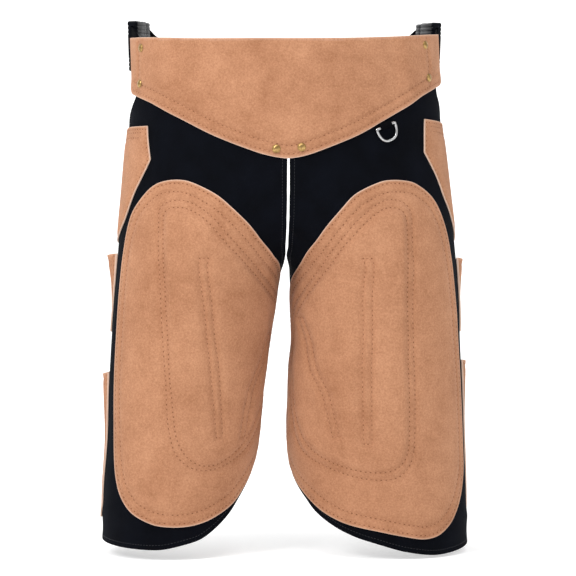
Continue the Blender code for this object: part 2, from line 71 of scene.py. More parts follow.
def newMesh(name, spots, faces, *finishes):
    mesh = bpy.data.meshes.new(name)
    mesh.from_pydata(spots, [], faces)
    for finish in finishes:
        mesh.materials.append(finish)
    return mesh


def smoothAll(mesh):
    mesh.polygons.foreach_set("use_smooth", [True] * len(mesh.polygons))


def fixNormals(mesh):
    work = bmesh.new()
    work.from_mesh(mesh)
    bmesh.ops.recalc_face_normals(work, faces=work.faces[:])
    work.to_mesh(mesh)
    work.free()


def dropPick():
    if bpy.context.object and bpy.context.object.mode != "OBJECT":
        bpy.ops.object.mode_set(mode="OBJECT")
    bpy.ops.object.select_all(action="DESELECT")


def makeActive(made):
    dropPick()
    bpy.context.view_layer.objects.active = made
    made.select_set(True)


def applied(made, kind, name, **settings):
    makeActive(made)
    modifier = made.modifiers.new(name, kind)
    for key, value in settings.items():
        setattr(modifier, key, value)
    bpy.ops.object.modifier_apply(modifier=name)


def bevelled(made, name, width, segments=2, angle=30):
    limits = {"limit_method": "ANGLE", "angle_limit": math.radians(angle)}
    applied(made, "BEVEL", name, width=width, segments=segments, **limits)


def addNode(tree, kind, values=None, links=None, **settings):
    node = tree.nodes.new(kind)
    for key, value in settings.items():
        setattr(node, key, value)
    for socket, value in (values or {}).items():
        node.inputs[socket].default_value = value
    for socket, source in (links or {}).items():
        tree.links.new(source, node.inputs[socket])
    return node


def mixColour(tree, factor, first, second):
    node = addNode(tree, "ShaderNodeMix", data_type="RGBA")
    for index, value in ((0, factor), (6, first), (7, second)):
        if isinstance(value, (int, float, tuple)):
            node.inputs[index].default_value = value
        else:
            tree.links.new(value, node.inputs[index])
    return node.outputs[2]


def mathNode(tree, operation, first, second):
    node = addNode(tree, "ShaderNodeMath", operation=operation)
    for index, value in ((0, first), (1, second)):
        if isinstance(value, (int, float)):
            node.inputs[index].default_value = value
        else:
            tree.links.new(value, node.inputs[index])
    return node.outputs[0]


def weighed(tree, *parts):
    # the sum of values, each times its share
    total = None
    for value, share in parts:
        scaled = mathNode(tree, "MULTIPLY", value, share)
        total = scaled if total is None else mathNode(tree, "ADD", total, scaled)
    return total


def spread(tree, value, low, high, newLow=0.0, newHigh=1.0):
    values = {"From Min": low, "From Max": high, "To Min": newLow, "To Max": newHigh}
    return addNode(tree, "ShaderNodeMapRange", values, {"Value": value}).outputs[0]


def placeCamera():
    data = bpy.data.cameras.new("frontView")
    data.lens = look["lens"]
    data.sensor_width = look["sensor"]
    data.shift_x = look["shift"]
    camera = link(bpy.data.objects.new("frontView", data))
    yaw = math.radians(look["yaw"])
    away = look["distance"]
    camera.location = (-math.sin(yaw) * away, -math.cos(yaw) * away, look["height"])
    camera.rotation_euler = (math.pi / 2, 0, -yaw)
    bpy.context.scene.camera = camera


def placeLamps():
    for name, (place, aim, size, watts) in lamps.items():
        data = bpy.data.lights.new(name, "AREA")
        data.size = size
        data.energy = watts
        lamp = link(bpy.data.objects.new(name, data))
        lamp.location = place
        lamp.rotation_euler = (Vector(aim) - Vector(place)).to_track_quat("-Z", "Y").to_euler()
    world = bpy.data.worlds.new("softSky")
    world.use_nodes = True
    tree = world.node_tree
    tree.nodes.clear()
    seen = addNode(tree, "ShaderNodeLightPath")
    plain = addNode(tree, "ShaderNodeBackground", {"Color": (1, 1, 1, 1), "Strength": 1.0})
    soft = addNode(tree, "ShaderNodeBackground", {"Color": (1, 1, 1, 1), "Strength": look["sky"]})
    sources = {0: seen.outputs["Is Camera Ray"], 1: soft.outputs[0], 2: plain.outputs[0]}
    both = addNode(tree, "ShaderNodeMixShader", None, sources)
    addNode(tree, "ShaderNodeOutputWorld", None, {0: both.outputs[0]})
    bpy.context.scene.world = world
    bpy.context.scene.view_settings.view_transform = "Standard"


def layFloor():
    radius, far, wide = paperSheet["bend"], paperSheet["far"], paperSheet["halfWidth"]
    profile = [(paperSheet["near"], 0.0), (0.0, 0.0), (far, 0.0)]
    for k in range(1, paperSheet["bendSteps"] + 1):
        angle = math.radians(k * 90 / paperSheet["bendSteps"])
        profile.append((far + radius * math.sin(angle), radius * (1 - math.cos(angle))))
    profile.append((far + radius, paperSheet["top"]))
    spots = [(x, y, paperSheet["height"] + z) for y, z in profile for x in (-wide, wide)]
    strips = [(2 * k, 2 * k + 1, 2 * k + 3, 2 * k + 2) for k in range(len(profile) - 1)]
    paper = bpy.data.materials.new("palePaper")
    paper.use_nodes = True
    tree = paper.node_tree
    shader = tree.nodes["Principled BSDF"]
    shader.inputs["Base Color"].default_value = (*[paperSheet["tone"]] * 3, 1)
    shader.inputs["Roughness"].default_value = 0.9
    shader.inputs["Specular IOR Level"].default_value = 0.0
    shader.inputs["Emission Strength"].default_value = 1.0
    coords = addNode(tree, "ShaderNodeTexCoord").outputs["Object"]
    away = addNode(tree, "ShaderNodeVectorMath", None, {0: coords}, operation="LENGTH").outputs["Value"]
    lift = spread(tree, away, paperSheet["glowFrom"], paperSheet["glowTo"])
    glow = mixColour(tree, lift, (*[paperSheet["glowNear"]] * 3, 1), (*[paperSheet["glowFar"]] * 3, 1))
    tree.links.new(glow, shader.inputs["Emission Color"])
    mesh = newMesh("paleFloor", spots, strips, paper)
    smoothAll(mesh)
    link(bpy.data.objects.new("paleFloor", mesh))


bpy.ops.object.select_all(action="DESELECT")
placeCamera()
placeLamps()
layFloor()

# Materials
print("materials")


def blankMaterial(name, colour, roughness, metallic=0.0, **sockets):
    made = bpy.data.materials.new(name)
    made.use_nodes = True
    shader = made.node_tree.nodes["Principled BSDF"]
    shader.inputs["Base Color"].default_value = (*colour, 1)
    shader.inputs["Roughness"].default_value = roughness
    shader.inputs["Metallic"].default_value = metallic
    for key, value in sockets.items():
        shader.inputs[key.replace("_", " ")].default_value = value
    return made, made.node_tree, shader


def noiseAt(tree, coords, scale, detail=2.0, rough=0.5):
    values = {"Scale": scale, "Detail": detail, "Roughness": rough}
    return addNode(tree, "ShaderNodeTexNoise", values, {"Vector": coords}).outputs["Fac"]


def bumped(tree, shader, height, depth, strength=1.0):
    values = {"Strength": strength, "Distance": depth}
    bump = addNode(tree, "ShaderNodeBump", values, {"Height": height})
    tree.links.new(bump.outputs[0], shader.inputs["Normal"])


def markOf(tree, name):
    return addNode(tree, "ShaderNodeAttribute", attribute_name=name).outputs["Fac"]


def suedeMaterial(name, light, dark, deep, edge=(0.80, 0.58, 0.46), sheen=0.16):
    made, tree, shader = blankMaterial(
        name, light, 0.95, Sheen_Weight=sheen, Sheen_Roughness=0.4, Specular_IOR_Level=sheen * 0.6,
    )
    shader.inputs["Sheen Tint"].default_value = (1.0, 0.88, 0.76, 1)
    coords = addNode(tree, "ShaderNodeTexCoord").outputs["Object"]
    cloud = spread(tree, noiseAt(tree, coords, 13, 2), 0.3, 0.7)
    patchy = spread(tree, noiseAt(tree, coords, 55, 3, 0.6), 0.28, 0.72)
    fleck = spread(tree, noiseAt(tree, coords, 420, 3, 0.7), 0.3, 0.7)
    grain = spread(tree, noiseAt(tree, coords, 1500, 2, 0.6), 0.3, 0.7)
    tone = weighed(tree, (cloud, 0.22), (patchy, 0.20), (fleck, 0.38), (grain, 0.20))
    colour = mixColour(tree, spread(tree, tone, 0.18, 0.82), (*dark, 1), (*light, 1))
    # painted shade: near the stitch rows the colour is pulled towards the deep colour, standing in for the
    # shade in the stitch grooves
    colour = mixColour(tree, weighed(tree, (markOf(tree, "paintedSeamShade"), 0.20)), colour, (*deep, 1))
    colour = mixColour(tree, weighed(tree, (markOf(tree, "nearEdge"), 0.85)), colour, (*edge, 1))
    # painted shade: the middle of each needle hole is painted near black, standing in for the shade inside
    # the hole
    colour = mixColour(tree, markOf(tree, "paintedHoleShade"), colour, (0.060, 0.010, 0.002, 1))
    tree.links.new(colour, shader.inputs["Base Color"])
    bumped(tree, shader, weighed(tree, (fleck, 0.6), (grain, 0.5)), 0.0005, 0.8)
    return made


def canvasMaterial(name):
    made, tree, shader = blankMaterial(
        name, (0.004, 0.0045, 0.007), 0.9, Sheen_Weight=0.008, Sheen_Roughness=0.5, Specular_IOR_Level=0.04,
    )
    shader.inputs["Sheen Tint"].default_value = (0.62, 0.72, 1.0, 1)
    texture = addNode(tree, "ShaderNodeTexCoord")
    values = {"Scale": 380.0, "Distortion": 0.6, "Detail": 1.0, "Detail Scale": 2.0}
    threads = []
    for direction in ("X", "Y"):
        links = {"Vector": texture.outputs["UV"]}
        wave = addNode(tree, "ShaderNodeTexWave", values, links, bands_direction=direction)
        threads.append(wave.outputs["Fac"])
    weave = mathNode(tree, "MULTIPLY", *threads)
    cloud = spread(tree, noiseAt(tree, texture.outputs["Object"], 26, 3), 0.3, 0.7)
    lint = spread(tree, noiseAt(tree, texture.outputs["Object"], 900, 2), 0.62, 0.8)
    colour = mixColour(tree, cloud, (0.0018, 0.0021, 0.0032, 1), (0.0030, 0.0038, 0.0065, 1))
    colour = mixColour(tree, weighed(tree, (weave, 0.35)), colour, (0.0042, 0.0050, 0.0084, 1))
    colour = mixColour(tree, weighed(tree, (lint, 0.22)), colour, (0.022, 0.025, 0.034, 1))
    tree.links.new(colour, shader.inputs["Base Color"])
    bumped(tree, shader, weave, 0.00022, 0.7)
    return made


def webbingMaterial(name):
    made, tree, shader = blankMaterial(name, (0.006, 0.006, 0.008), 0.8, Specular_IOR_Level=0.02)
    uv = addNode(tree, "ShaderNodeTexCoord").outputs["UV"]
    parts = addNode(tree, "ShaderNodeSeparateXYZ", None, {0: uv})
    fold = mathNode(tree, "PINGPONG", parts.outputs["Y"], 0.0042)
    along = mathNode(tree, "ADD", parts.outputs["X"], fold)
    ribs = addNode(tree, "ShaderNodeCombineXYZ", None, {0: along, 1: parts.outputs["Y"]})
    twill = addNode(tree, "ShaderNodeTexWave", {"Scale": 185.0}, {"Vector": ribs.outputs[0]}).outputs["Fac"]
    wave = addNode(tree, "ShaderNodeTexWave", {"Scale": 260.0}, {"Vector": uv}, bands_direction="Y")
    height = weighed(tree, (twill, 0.7), (wave.outputs["Fac"], 0.3))
    colour = mixColour(tree, height, (0.0010, 0.0011, 0.0016, 1), (0.0040, 0.0044, 0.0060, 1))
    tree.links.new(colour, shader.inputs["Base Color"])
    bumped(tree, shader, height, 0.00035, 0.8)
    return made


def plasticMaterial(name):
    made, tree, shader = blankMaterial(name, (0.004, 0.005, 0.008), 0.3, Specular_IOR_Level=0.06)
    coords = addNode(tree, "ShaderNodeTexCoord").outputs["Object"]
    rub = spread(tree, noiseAt(tree, coords, 60, 3), 0.35, 0.7, 0.24, 0.40)
    tree.links.new(rub, shader.inputs["Roughness"])
    cloud = noiseAt(tree, coords, 40, 2)
    tone = mixColour(tree, cloud, (0.0016, 0.0020, 0.0034, 1), (0.0042, 0.0054, 0.0090, 1))
    tree.links.new(tone, shader.inputs["Base Color"])
    bumped(tree, shader, noiseAt(tree, coords, 420, 2), 0.00002, 0.4)
    return made


def metalMaterial(name, bright, dull, rough, scale):
    made, tree, shader = blankMaterial(name, bright, rough, 1.0)
    coords = addNode(tree, "ShaderNodeTexCoord").outputs["Object"]
    stain = spread(tree, noiseAt(tree, coords, scale, 4, 0.6), 0.35, 0.7)
    tree.links.new(mixColour(tree, stain, (*bright, 1), (*dull, 1)), shader.inputs["Base Color"])
    tree.links.new(spread(tree, stain, 0, 1, rough, rough + 0.16), shader.inputs["Roughness"])
    bumped(tree, shader, noiseAt(tree, coords, scale * 6, 2), 0.00004, 0.5)
    return made


def threadMaterial(name, bright, dull):
    made, tree, shader = blankMaterial(name, bright, 0.7, Sheen_Weight=0.15)
    coords = addNode(tree, "ShaderNodeTexCoord").outputs["Object"]
    twist = spread(tree, noiseAt(tree, coords, 1500, 2), 0.35, 0.65)
    tree.links.new(mixColour(tree, twist, (*dull, 1), (*bright, 1)), shader.inputs["Base Color"])
    bumped(tree, shader, twist, 0.0001, 0.6)
    return made


# the second colour is the painted shade laid into the stitch grooves
suedeLight, suedeSeamShade = (0.560, 0.283, 0.160), (0.270, 0.104, 0.047)
tanSuede = suedeMaterial("tanSuede", suedeLight, (0.325, 0.140, 0.070), suedeSeamShade)
needleHoles = suedeMaterial("needleHoles", suedeLight, (0.400, 0.180, 0.092), suedeSeamShade, sheen=0.0)
rawEdge = suedeMaterial("rawSuedeEdge", (0.84, 0.62, 0.50), (0.62, 0.40, 0.29), (0.62, 0.40, 0.29))
blackCanvas = canvasMaterial("blackCanvas")
blackWebbing = webbingMaterial("blackWebbing")
blackPlastic = plasticMaterial("blackPlastic")
domedBrass = metalMaterial("domedBrass", (0.52, 0.34, 0.13), (0.24, 0.14, 0.05), 0.24, 260)
platedWire = metalMaterial("platedWire", (0.58, 0.58, 0.58), (0.34, 0.34, 0.35), 0.18, 320)
tanThread = threadMaterial("tanThread", (0.58, 0.285, 0.155), (0.42, 0.185, 0.092))
blackThread = threadMaterial("blackThread", (0.018, 0.019, 0.026), (0.006, 0.006, 0.009))

# The worn form. Columns: height, inner reach, outer reach, front, half depth, in millimetres.
print("worn form")
formRows = {
    -1: (
        (60, -200, 200, 135, 135), (-15, -203, 199, 135, 135), (-60, -206, 203, 135, 134),
        (-120, -213, 209, 134, 131), (-165, -145, 212.5, 132, 124), (-200, -75, 215.5, 131, 118),
        (-235, -18, 218, 129, 114), (-265, 7, 220, 128, 110), (-310, 16.5, 223.5, 126, 107),
        (-360, 24, 227, 124, 105), (-420, 31.5, 230, 122, 103), (-480, 37.5, 231.5, 120, 101),
        (-555, 49, 237, 118, 99), (-650, 56, 239, 117, 98),
    ),
    1: (
        (60, -200, 200, 135, 135), (-15, -199, 203, 135, 135), (-60, -203, 206, 135, 134),
        (-120, -209, 213, 134, 131), (-165, -145, 217.5, 132, 124), (-200, -75, 221, 131, 119),
        (-235, -18, 224, 129, 116), (-265, 7.5, 226.5, 128, 114), (-310, 10.5, 229, 127, 112),
        (-350, 13, 230.5, 125, 111), (-395, 8.5, 232.5, 124, 111), (-480, 6.5, 236, 121, 111),
        (-555, 15, 239, 119, 109), (-650, 23, 241, 118, 108),
    ),
}
sideName = {-1: "right", 1: "left"}
canvasThick = 0.0016
suedeThick = 0.0020
webbingThick = 0.0018
coverLift = 0.0019
webbingLift = 0.0022
waistEndLift = 0.0044
legStrapLift = -0.0024


def smoothThrough(places, values):
    order = np.argsort(places)
    x = np.array(places, float)[order]
    y = np.array(values, float)[order]
    gaps = np.diff(x)
    rises = np.diff(y) / gaps
    slopes = np.zeros(len(x))
    slopes[0], slopes[-1] = rises[0], rises[-1]
    for row in range(1, len(x) - 1):
        before, after = rises[row - 1], rises[row]
        if before * after > 0:
            near = 2 * gaps[row] + gaps[row - 1]
            far = gaps[row] + 2 * gaps[row - 1]
            slopes[row] = (near + far) / (near / before + far / after)

    def at(where):
        where = np.clip(where, x[0], x[-1])
        row = np.clip(np.searchsorted(x, where) - 1, 0, len(x) - 2)
        gap = x[row + 1] - x[row]
        t = (where - x[row]) / gap
        value = (1 + 2 * t) * (1 - t) ** 2 * y[row] + t * t * (3 - 2 * t) * y[row + 1]
        return value + t * (1 - t) ** 2 * gap * slopes[row] - t * t * (1 - t) * gap * slopes[row + 1]

    return at


formCurves = {}
for side, rows in formRows.items():
    columns = np.array(rows).T / 1000
    formCurves[side] = [smoothThrough(columns[0], column) for column in columns[1:]]


def bell(away, width):
    return np.exp(-(away / width) ** 2)


def ease(low, high, value):
    t = np.clip((value - low) / (high - low), 0.0, 1.0)
    return t * t * (3 - 2 * t)


def onForm(side, turns, heights, lift=0.0):
    turns, heights = np.broadcast_arrays(np.asarray(turns, float), np.asarray(heights, float))
    inner, outer, front, depth = (curve(heights) for curve in formCurves[side])
    middle, reach = (inner + outer) / 2, (outer - inner) / 2
    angle = np.radians(turns)
    nx, ny = depth * np.sin(angle), -reach * np.cos(angle)
    size = np.hypot(nx, ny)
    across = middle + reach * np.sin(angle) + lift * nx / size
    back = depth - front - depth * np.cos(angle) + lift * ny / size
    return np.stack([side * across, back, heights], axis=-1)


def outwards(side, turns, heights):
    along = onForm(side, turns + 0.5, heights) - onForm(side, turns - 0.5, heights)
    up = onForm(side, turns, heights + 0.001) - onForm(side, turns, heights - 0.001)
    normal = np.cross(along, up) * side
    return normal / np.linalg.norm(normal, axis=-1, keepdims=True)


def stepAside(side, row, away, closed=False):
    turns, heights = row.T
    spots = onForm(side, turns, heights)
    run = np.roll(spots, -1, axis=0) - np.roll(spots, 1, axis=0) if closed else np.gradient(spots, axis=0)
    aside = np.cross(outwards(side, turns, heights), run)
    aside *= away / (np.linalg.norm(aside, axis=1, keepdims=True) + 1e-12)
    byTurn = (onForm(side, turns + 0.25, heights) - onForm(side, turns - 0.25, heights)) / 0.5
    byHeight = (onForm(side, turns, heights + 0.0005) - onForm(side, turns, heights - 0.0005)) / 0.001
    pairs = ((byTurn, byTurn), (byHeight, byHeight), (byTurn, byHeight), (byTurn, aside), (byHeight, aside))
    aa, bb, ab, ra, rb = (np.sum(one * other, axis=1) for one, other in pairs)
    whole = aa * bb - ab * ab
    return np.stack([turns + (ra * bb - rb * ab) / whole, heights + (rb * aa - ra * ab) / whole], axis=-1)


# The form unrolled: distance round it against height, for cutting and for the weave
flatTurns = np.linspace(-180, 290, 471)
flatHeights = np.linspace(-0.66, 0.07, 147)
flatTable = {}
for side in (-1, 1):
    grid = onForm(side, flatTurns[:, None], flatHeights[None, :])
    steps = np.linalg.norm(np.diff(grid, axis=0), axis=-1)
    total = np.concatenate([np.zeros((1, len(flatHeights))), np.cumsum(steps, axis=0)])
    front = int(np.argmin(np.abs(flatTurns)))
    flatTable[side] = total - total[front] + side * grid[front, :, 0]


def flatAcross(side, turns, heights):
    i = np.clip((turns - flatTurns[0]) / (flatTurns[1] - flatTurns[0]), 0, len(flatTurns) - 1.001)
    j = np.clip((heights - flatHeights[0]) / (flatHeights[1] - flatHeights[0]), 0, len(flatHeights) - 1.001)
    a, b = i.astype(int), j.astype(int)
    s, t = i - a, j - b
    table = flatTable[side]
    low = table[a, b] * (1 - s) + table[a + 1, b] * s
    high = table[a, b + 1] * (1 - s) + table[a + 1, b + 1] * s
    return low * (1 - t) + high * t


def flatOf(side, points):
    return np.stack([flatAcross(side, points[:, 0], points[:, 1]), points[:, 1]], axis=-1)


def flatSize(side, outline):
    x, y = flatOf(side, outline).T
    area = abs(np.sum(x * np.roll(y, -1) - np.roll(x, -1) * y)) / 2
    return (float(np.ptp(x)), float(np.ptp(y))), float(area)


# Soft folds that every layer on a leg shares. Columns: from turn and height, to turn and height,
# half width and depth in millimetres, a trough below nought.
legFolds = {
    -1: (
        (4, -128, 1, -236, 6, -0.9), (12, -122, 8, -178, 5, 0.8), (-22, -215, 22, -150, 11, 1.0),
        (46, -78, 30, -146, 9, -1.3), (58, -62, 50, -150, 8, 1.2), (-58, -262, -84, -330, 12, 1.4),
        (-64, -300, -88, -420, 10, -1.3), (-70, -420, -86, -520, 9, 1.1), (30, -300, 58, -345, 20, -1.2),
        (-30, -330, 20, -352, 26, -1.0), (44, -420, 8, -470, 24, 1.0), (52, -560, 96, -590, 9, 1.2),
        (70, -250, 76, -420, 8, 1.1), (96, -120, 104, -240, 10, -1.6), (108, -300, 112, -470, 9, 1.6),
        (20, -606, 60, -592, 8, -0.8),
    ),
    1: (
        (3, -126, 0, -230, 6, -0.8), (14, -120, 7, -190, 6, 0.9), (-20, -222, 16, -158, 12, -1.0),
        (48, -70, 34, -140, 9, 1.2), (60, -58, 52, -138, 8, -1.2), (-60, -270, -86, -350, 12, 1.3),
        (-66, -330, -90, -440, 11, -1.4), (-72, -440, -88, -530, 9, 1.2), (24, -290, 60, -322, 22, 1.1),
        (-34, -350, 18, -372, 26, -1.0), (48, -430, 12, -486, 24, -0.9), (60, -574, 100, -600, 9, 1.3),
        (72, -250, 78, -400, 8, -1.1), (98, -120, 105, -236, 10, 1.5), (108, -310, 112, -480, 9, -1.5),
        (26, -616, 62, -604, 8, 0.8),
    ),
}
foldDegree = 1.95  # millimetres a degree, near enough for placing a fold
smoothSpot = {"turn": 36, "height": -92, "radius": 25}  # no fold passes behind the D-ring


def bodyRelief(side, turns, heights):
    relief = np.zeros(np.shape(turns))
    x, y = turns * foldDegree, heights * 1000
    for fromTurn, fromHeight, toTurn, toHeight, wide, deep in legFolds[side]:
        start = np.array((fromTurn * foldDegree, fromHeight))
        run = np.array((toTurn * foldDegree, toHeight)) - start
        t = ((x - start[0]) * run[0] + (y - start[1]) * run[1]) / (run @ run)
        kept = np.clip(t, 0, 1)
        away = np.hypot(x - start[0] - kept * run[0], y - start[1] - kept * run[1])
        taper = 0.35 + 0.65 * np.sin(np.pi * kept) ** 0.8
        relief += deep / 1000 * taper * bell(away, wide)
    if side > 0:
        away = np.hypot(x - smoothSpot["turn"] * foldDegree, y - smoothSpot["height"])
        relief = relief * (1 - bell(away, smoothSpot["radius"]))
    return relief * (1 - ease(-0.11, -0.03, heights))


def unevenness(points, scale, seed):
    offset = Vector((seed, 2.7 * seed, -seed))
    return np.array([noise.noise(Vector(point) * scale + offset) for point in points])


# Laying out a cut. Rows of a cut: turn in degrees, height in millimetres, and a 1 at a sharp corner.
cutDegree = 0.0020  # the flat length of a degree that the cuts are drawn with
cutStep = 0.002
meshing = {  # how close the points of a cut lie, in metres or as a share
    "insideEdge": 0.0011, "alongRow": 0.0021, "besideRow": 0.0016, "offEdge": 0.0008, "offRow": 0.0010,
    # the seam width on the next line sets how far the painted shade spreads from each stitch row
    "offGrid": 0.62, "rim": 0.0004, "seamShade": 0.0019, "edgeTone": 0.0009, "suede": 0.0030,
    "nearStep": 0.0012, "keptShare": 0.93, "cornerDegree": 0.0024, "cornerCosine": 0.85,
}


def smoothCut(rows):
    points = [Vector((row[0] * cutDegree, row[1] / 1000)) for row in rows]
    count = len(rows)
    out = []
    for i, row in enumerate(rows):
        here, after = points[i], points[(i + 1) % count]
        corner, nextCorner = len(row) > 2, len(rows[(i + 1) % count]) > 2
        leave = after - here if corner else (after - points[i - 1]) / 2
        arrive = after - here if nextCorner else (points[(i + 2) % count] - here) / 2
        span = (after - here).length
        leave = leave.normalized() * min(leave.length, 0.9 * span)
        arrive = arrive.normalized() * min(arrive.length, 0.9 * span)
        steps = max(1, round(span / cutStep))
        for k in range(steps):
            t = k / steps
            place = (1 + 2 * t) * (1 - t) ** 2 * here + t * t * (3 - 2 * t) * after
            place += t * (1 - t) ** 2 * leave - t * t * (1 - t) * arrive
            out.append((place.x / cutDegree, place.y))
    return np.array(out)


def openCurve(rows):
    turns = [row[0] for row in rows]
    heights = [row[1] / 1000 for row in rows]
    along = np.concatenate([[0], np.cumsum(np.hypot(np.diff(turns) * cutDegree, np.diff(heights)))])
    where = np.linspace(0, along[-1], max(2, int(along[-1] / cutStep)))
    return np.stack([smoothThrough(along, turns)(where), smoothThrough(along, heights)(where)], axis=-1)


def resample(side, points, pitch, closed):
    path = np.vstack([points, points[:1]]) if closed else points
    spots = onForm(side, path[:, 0], path[:, 1])
    along = np.concatenate([[0], np.cumsum(np.linalg.norm(np.diff(spots, axis=0), axis=1))])
    count = max(2, round(along[-1] / pitch))
    where = np.linspace(0, along[-1], count + 1)
    where = where[:-1] if closed else where
    return np.stack([np.interp(where, along, path[:, 0]), np.interp(where, along, path[:, 1])], axis=-1)


def insideOf(points, outline):
    inside = np.zeros(len(points), bool)
    x, y = points[:, 0], points[:, 1]
    for (x1, y1), (x2, y2) in zip(outline, np.roll(outline, -1, axis=0)):
        if y1 == y2:
            continue
        crosses = (y1 > y) != (y2 > y)
        inside ^= crosses & (x < (x2 - x1) * (y - y1) / (y2 - y1) + x1)
    return inside


def offsetInside(side, outline, away):
    twist = np.sum(outline[:, 0] * np.roll(outline[:, 1], -1) - np.roll(outline[:, 0], -1) * outline[:, 1])
    row = stepAside(side, outline, away * side * np.sign(twist), True)
    tree = treeOf(onForm(side, outline[:, 0], outline[:, 1]))
    least = meshing["keptShare"] * away
    kept = [tree.find(Vector(spot))[2] > least for spot in onForm(side, row[:, 0], row[:, 1])]
    return row[np.array(kept)]


def stretchOf(row, start, end):
    # the part of a closed row from the point nearest to start on to the one nearest to end
    degree = 1000 * cutDegree
    first = np.argmin(np.hypot((row[:, 0] - start[0]) * degree, row[:, 1] * 1000 - start[1]))
    row = np.roll(row, -first, axis=0)
    last = np.argmin(np.hypot((row[:, 0] - end[0]) * degree, row[:, 1] * 1000 - end[1]))
    return row[:last + 1]


def treeOf(spots):
    tree = KDTree(len(spots))
    for index, spot in enumerate(spots):
        tree.insert(Vector(spot), index)
    tree.balance()
    return tree


def nearness(side, points, rows):
    fine = np.vstack([resample(side, row, meshing["nearStep"], False) for row in rows])
    tree = treeOf(onForm(side, fine[:, 0], fine[:, 1]))
    return np.array([tree.find(Vector(spot))[2] for spot in onForm(side, points[:, 0], points[:, 1])])


# Sewn cloth: one shell for each cut piece
allSheets = []
sewnOn = {}


def layOut(side, outline, rows, spacing):
    border = resampleCorners(side, outline, spacing)
    loops = [offsetInside(side, border, meshing["insideEdge"])]
    for row in rows:
        fine = resample(side, row, meshing["alongRow"], False)
        loops.append(fine)
        for away in (-meshing["besideRow"], meshing["besideRow"]):
            loops.append(stepAside(side, fine, away))
    flatBorder = flatOf(side, border)
    low, high = flatBorder.min(axis=0), flatBorder.max(axis=0)
    levels = np.arange(low[1], high[1], spacing * 0.866)  # rows of even triangles
    grid = []
    for k, level in enumerate(levels):
        across = np.arange(low[0], high[0], spacing) + (k % 2) * spacing / 2
        reach = flatAcross(side, flatTurns, np.full(len(flatTurns), level))
        grid.append(np.stack([np.interp(across, reach, flatTurns), np.full(len(across), level)], axis=-1))
    grid = np.vstack(grid)
    grid = grid[insideOf(flatOf(side, grid), flatBorder)]
    sewn = np.vstack(loops)
    sewn = sewn[insideOf(flatOf(side, sewn), flatBorder)]

    def spaced(candidates, taken, least):
        tree = treeOf(onForm(side, taken[:, 0], taken[:, 1]))
        spots = onForm(side, candidates[:, 0], candidates[:, 1])
        kept = [tree.find(Vector(spot))[2] > least for spot in spots]
        return candidates[np.array(kept, bool)]

    sewn = thin(side, spaced(sewn, border, meshing["offEdge"]), meshing["offRow"])
    grid = spaced(grid, np.vstack([border, sewn]), meshing["offGrid"] * spacing)
    every = np.vstack([border, sewn, grid])
    flat = flatOf(side, every) * 1000
    edge = list(range(len(border)))
    _, _, faces, origins, _, _ = delaunay_2d_cdt([Vector(spot) for spot in flat], [], [edge], 1, 1e-4)
    chosen = np.array([origin[0] for origin in origins])
    points = every[chosen]
    laid = flat[chosen]
    faces = np.array([face for face in faces if len(face) == 3])
    a, b, c = (laid[faces[:, k]] for k in range(3))
    turned = (b[:, 0] - a[:, 0]) * (c[:, 1] - a[:, 1]) - (c[:, 0] - a[:, 0]) * (b[:, 1] - a[:, 1]) < 0
    faces[turned] = faces[turned][:, ::-1]
    return points, faces


def resampleCorners(side, outline, spacing):
    ahead = np.roll(outline, -1, axis=0) - outline
    ahead[:, 0] *= meshing["cornerDegree"]
    behind = np.roll(ahead, 1, axis=0)
    lengths = np.linalg.norm(ahead, axis=1) * np.linalg.norm(behind, axis=1)
    cosine = np.sum(ahead * behind, axis=1) / (lengths + 1e-12)
    corners = np.flatnonzero(cosine < meshing["cornerCosine"])
    if len(corners) < 2:
        return resample(side, outline, spacing, True)
    out = []
    for first, last in zip(corners, np.roll(corners, -1)):
        stop = last if last > first else last + len(outline)
        run = outline[np.arange(first, stop + 1) % len(outline)]
        out.append(resample(side, run, spacing, False)[:-1])
    return np.vstack(out)


def thin(side, points, least):
    spots = onForm(side, points[:, 0], points[:, 1])
    tree = treeOf(spots)
    dropped = np.zeros(len(points), bool)
    for index, spot in enumerate(spots):
        if dropped[index]:
            continue
        for _, other, _ in tree.find_range(Vector(spot), least):
            if other > index:
                dropped[other] = True
    return points[~dropped]


def closedRow(row):
    return np.vstack([row, row[:1]])


def fillUv(mesh, laid, repeat):
    uv = mesh.uv_layers.new(name="cloth")
    corners = np.empty(len(mesh.loops), np.int32)
    mesh.loops.foreach_get("vertex_index", corners)
    uv.data.foreach_set("uv", laid[corners % repeat].astype(np.float32).ravel())


def fillMark(mesh, name, values):
    layer = mesh.attributes.new(name, "FLOAT", "POINT")
    layer.data.foreach_set("value", values.astype(np.float32))


def enlist(piece, body, slot, *nodes):
    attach(piece, body)
    if nodes:
        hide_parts(*nodes)
    return piece


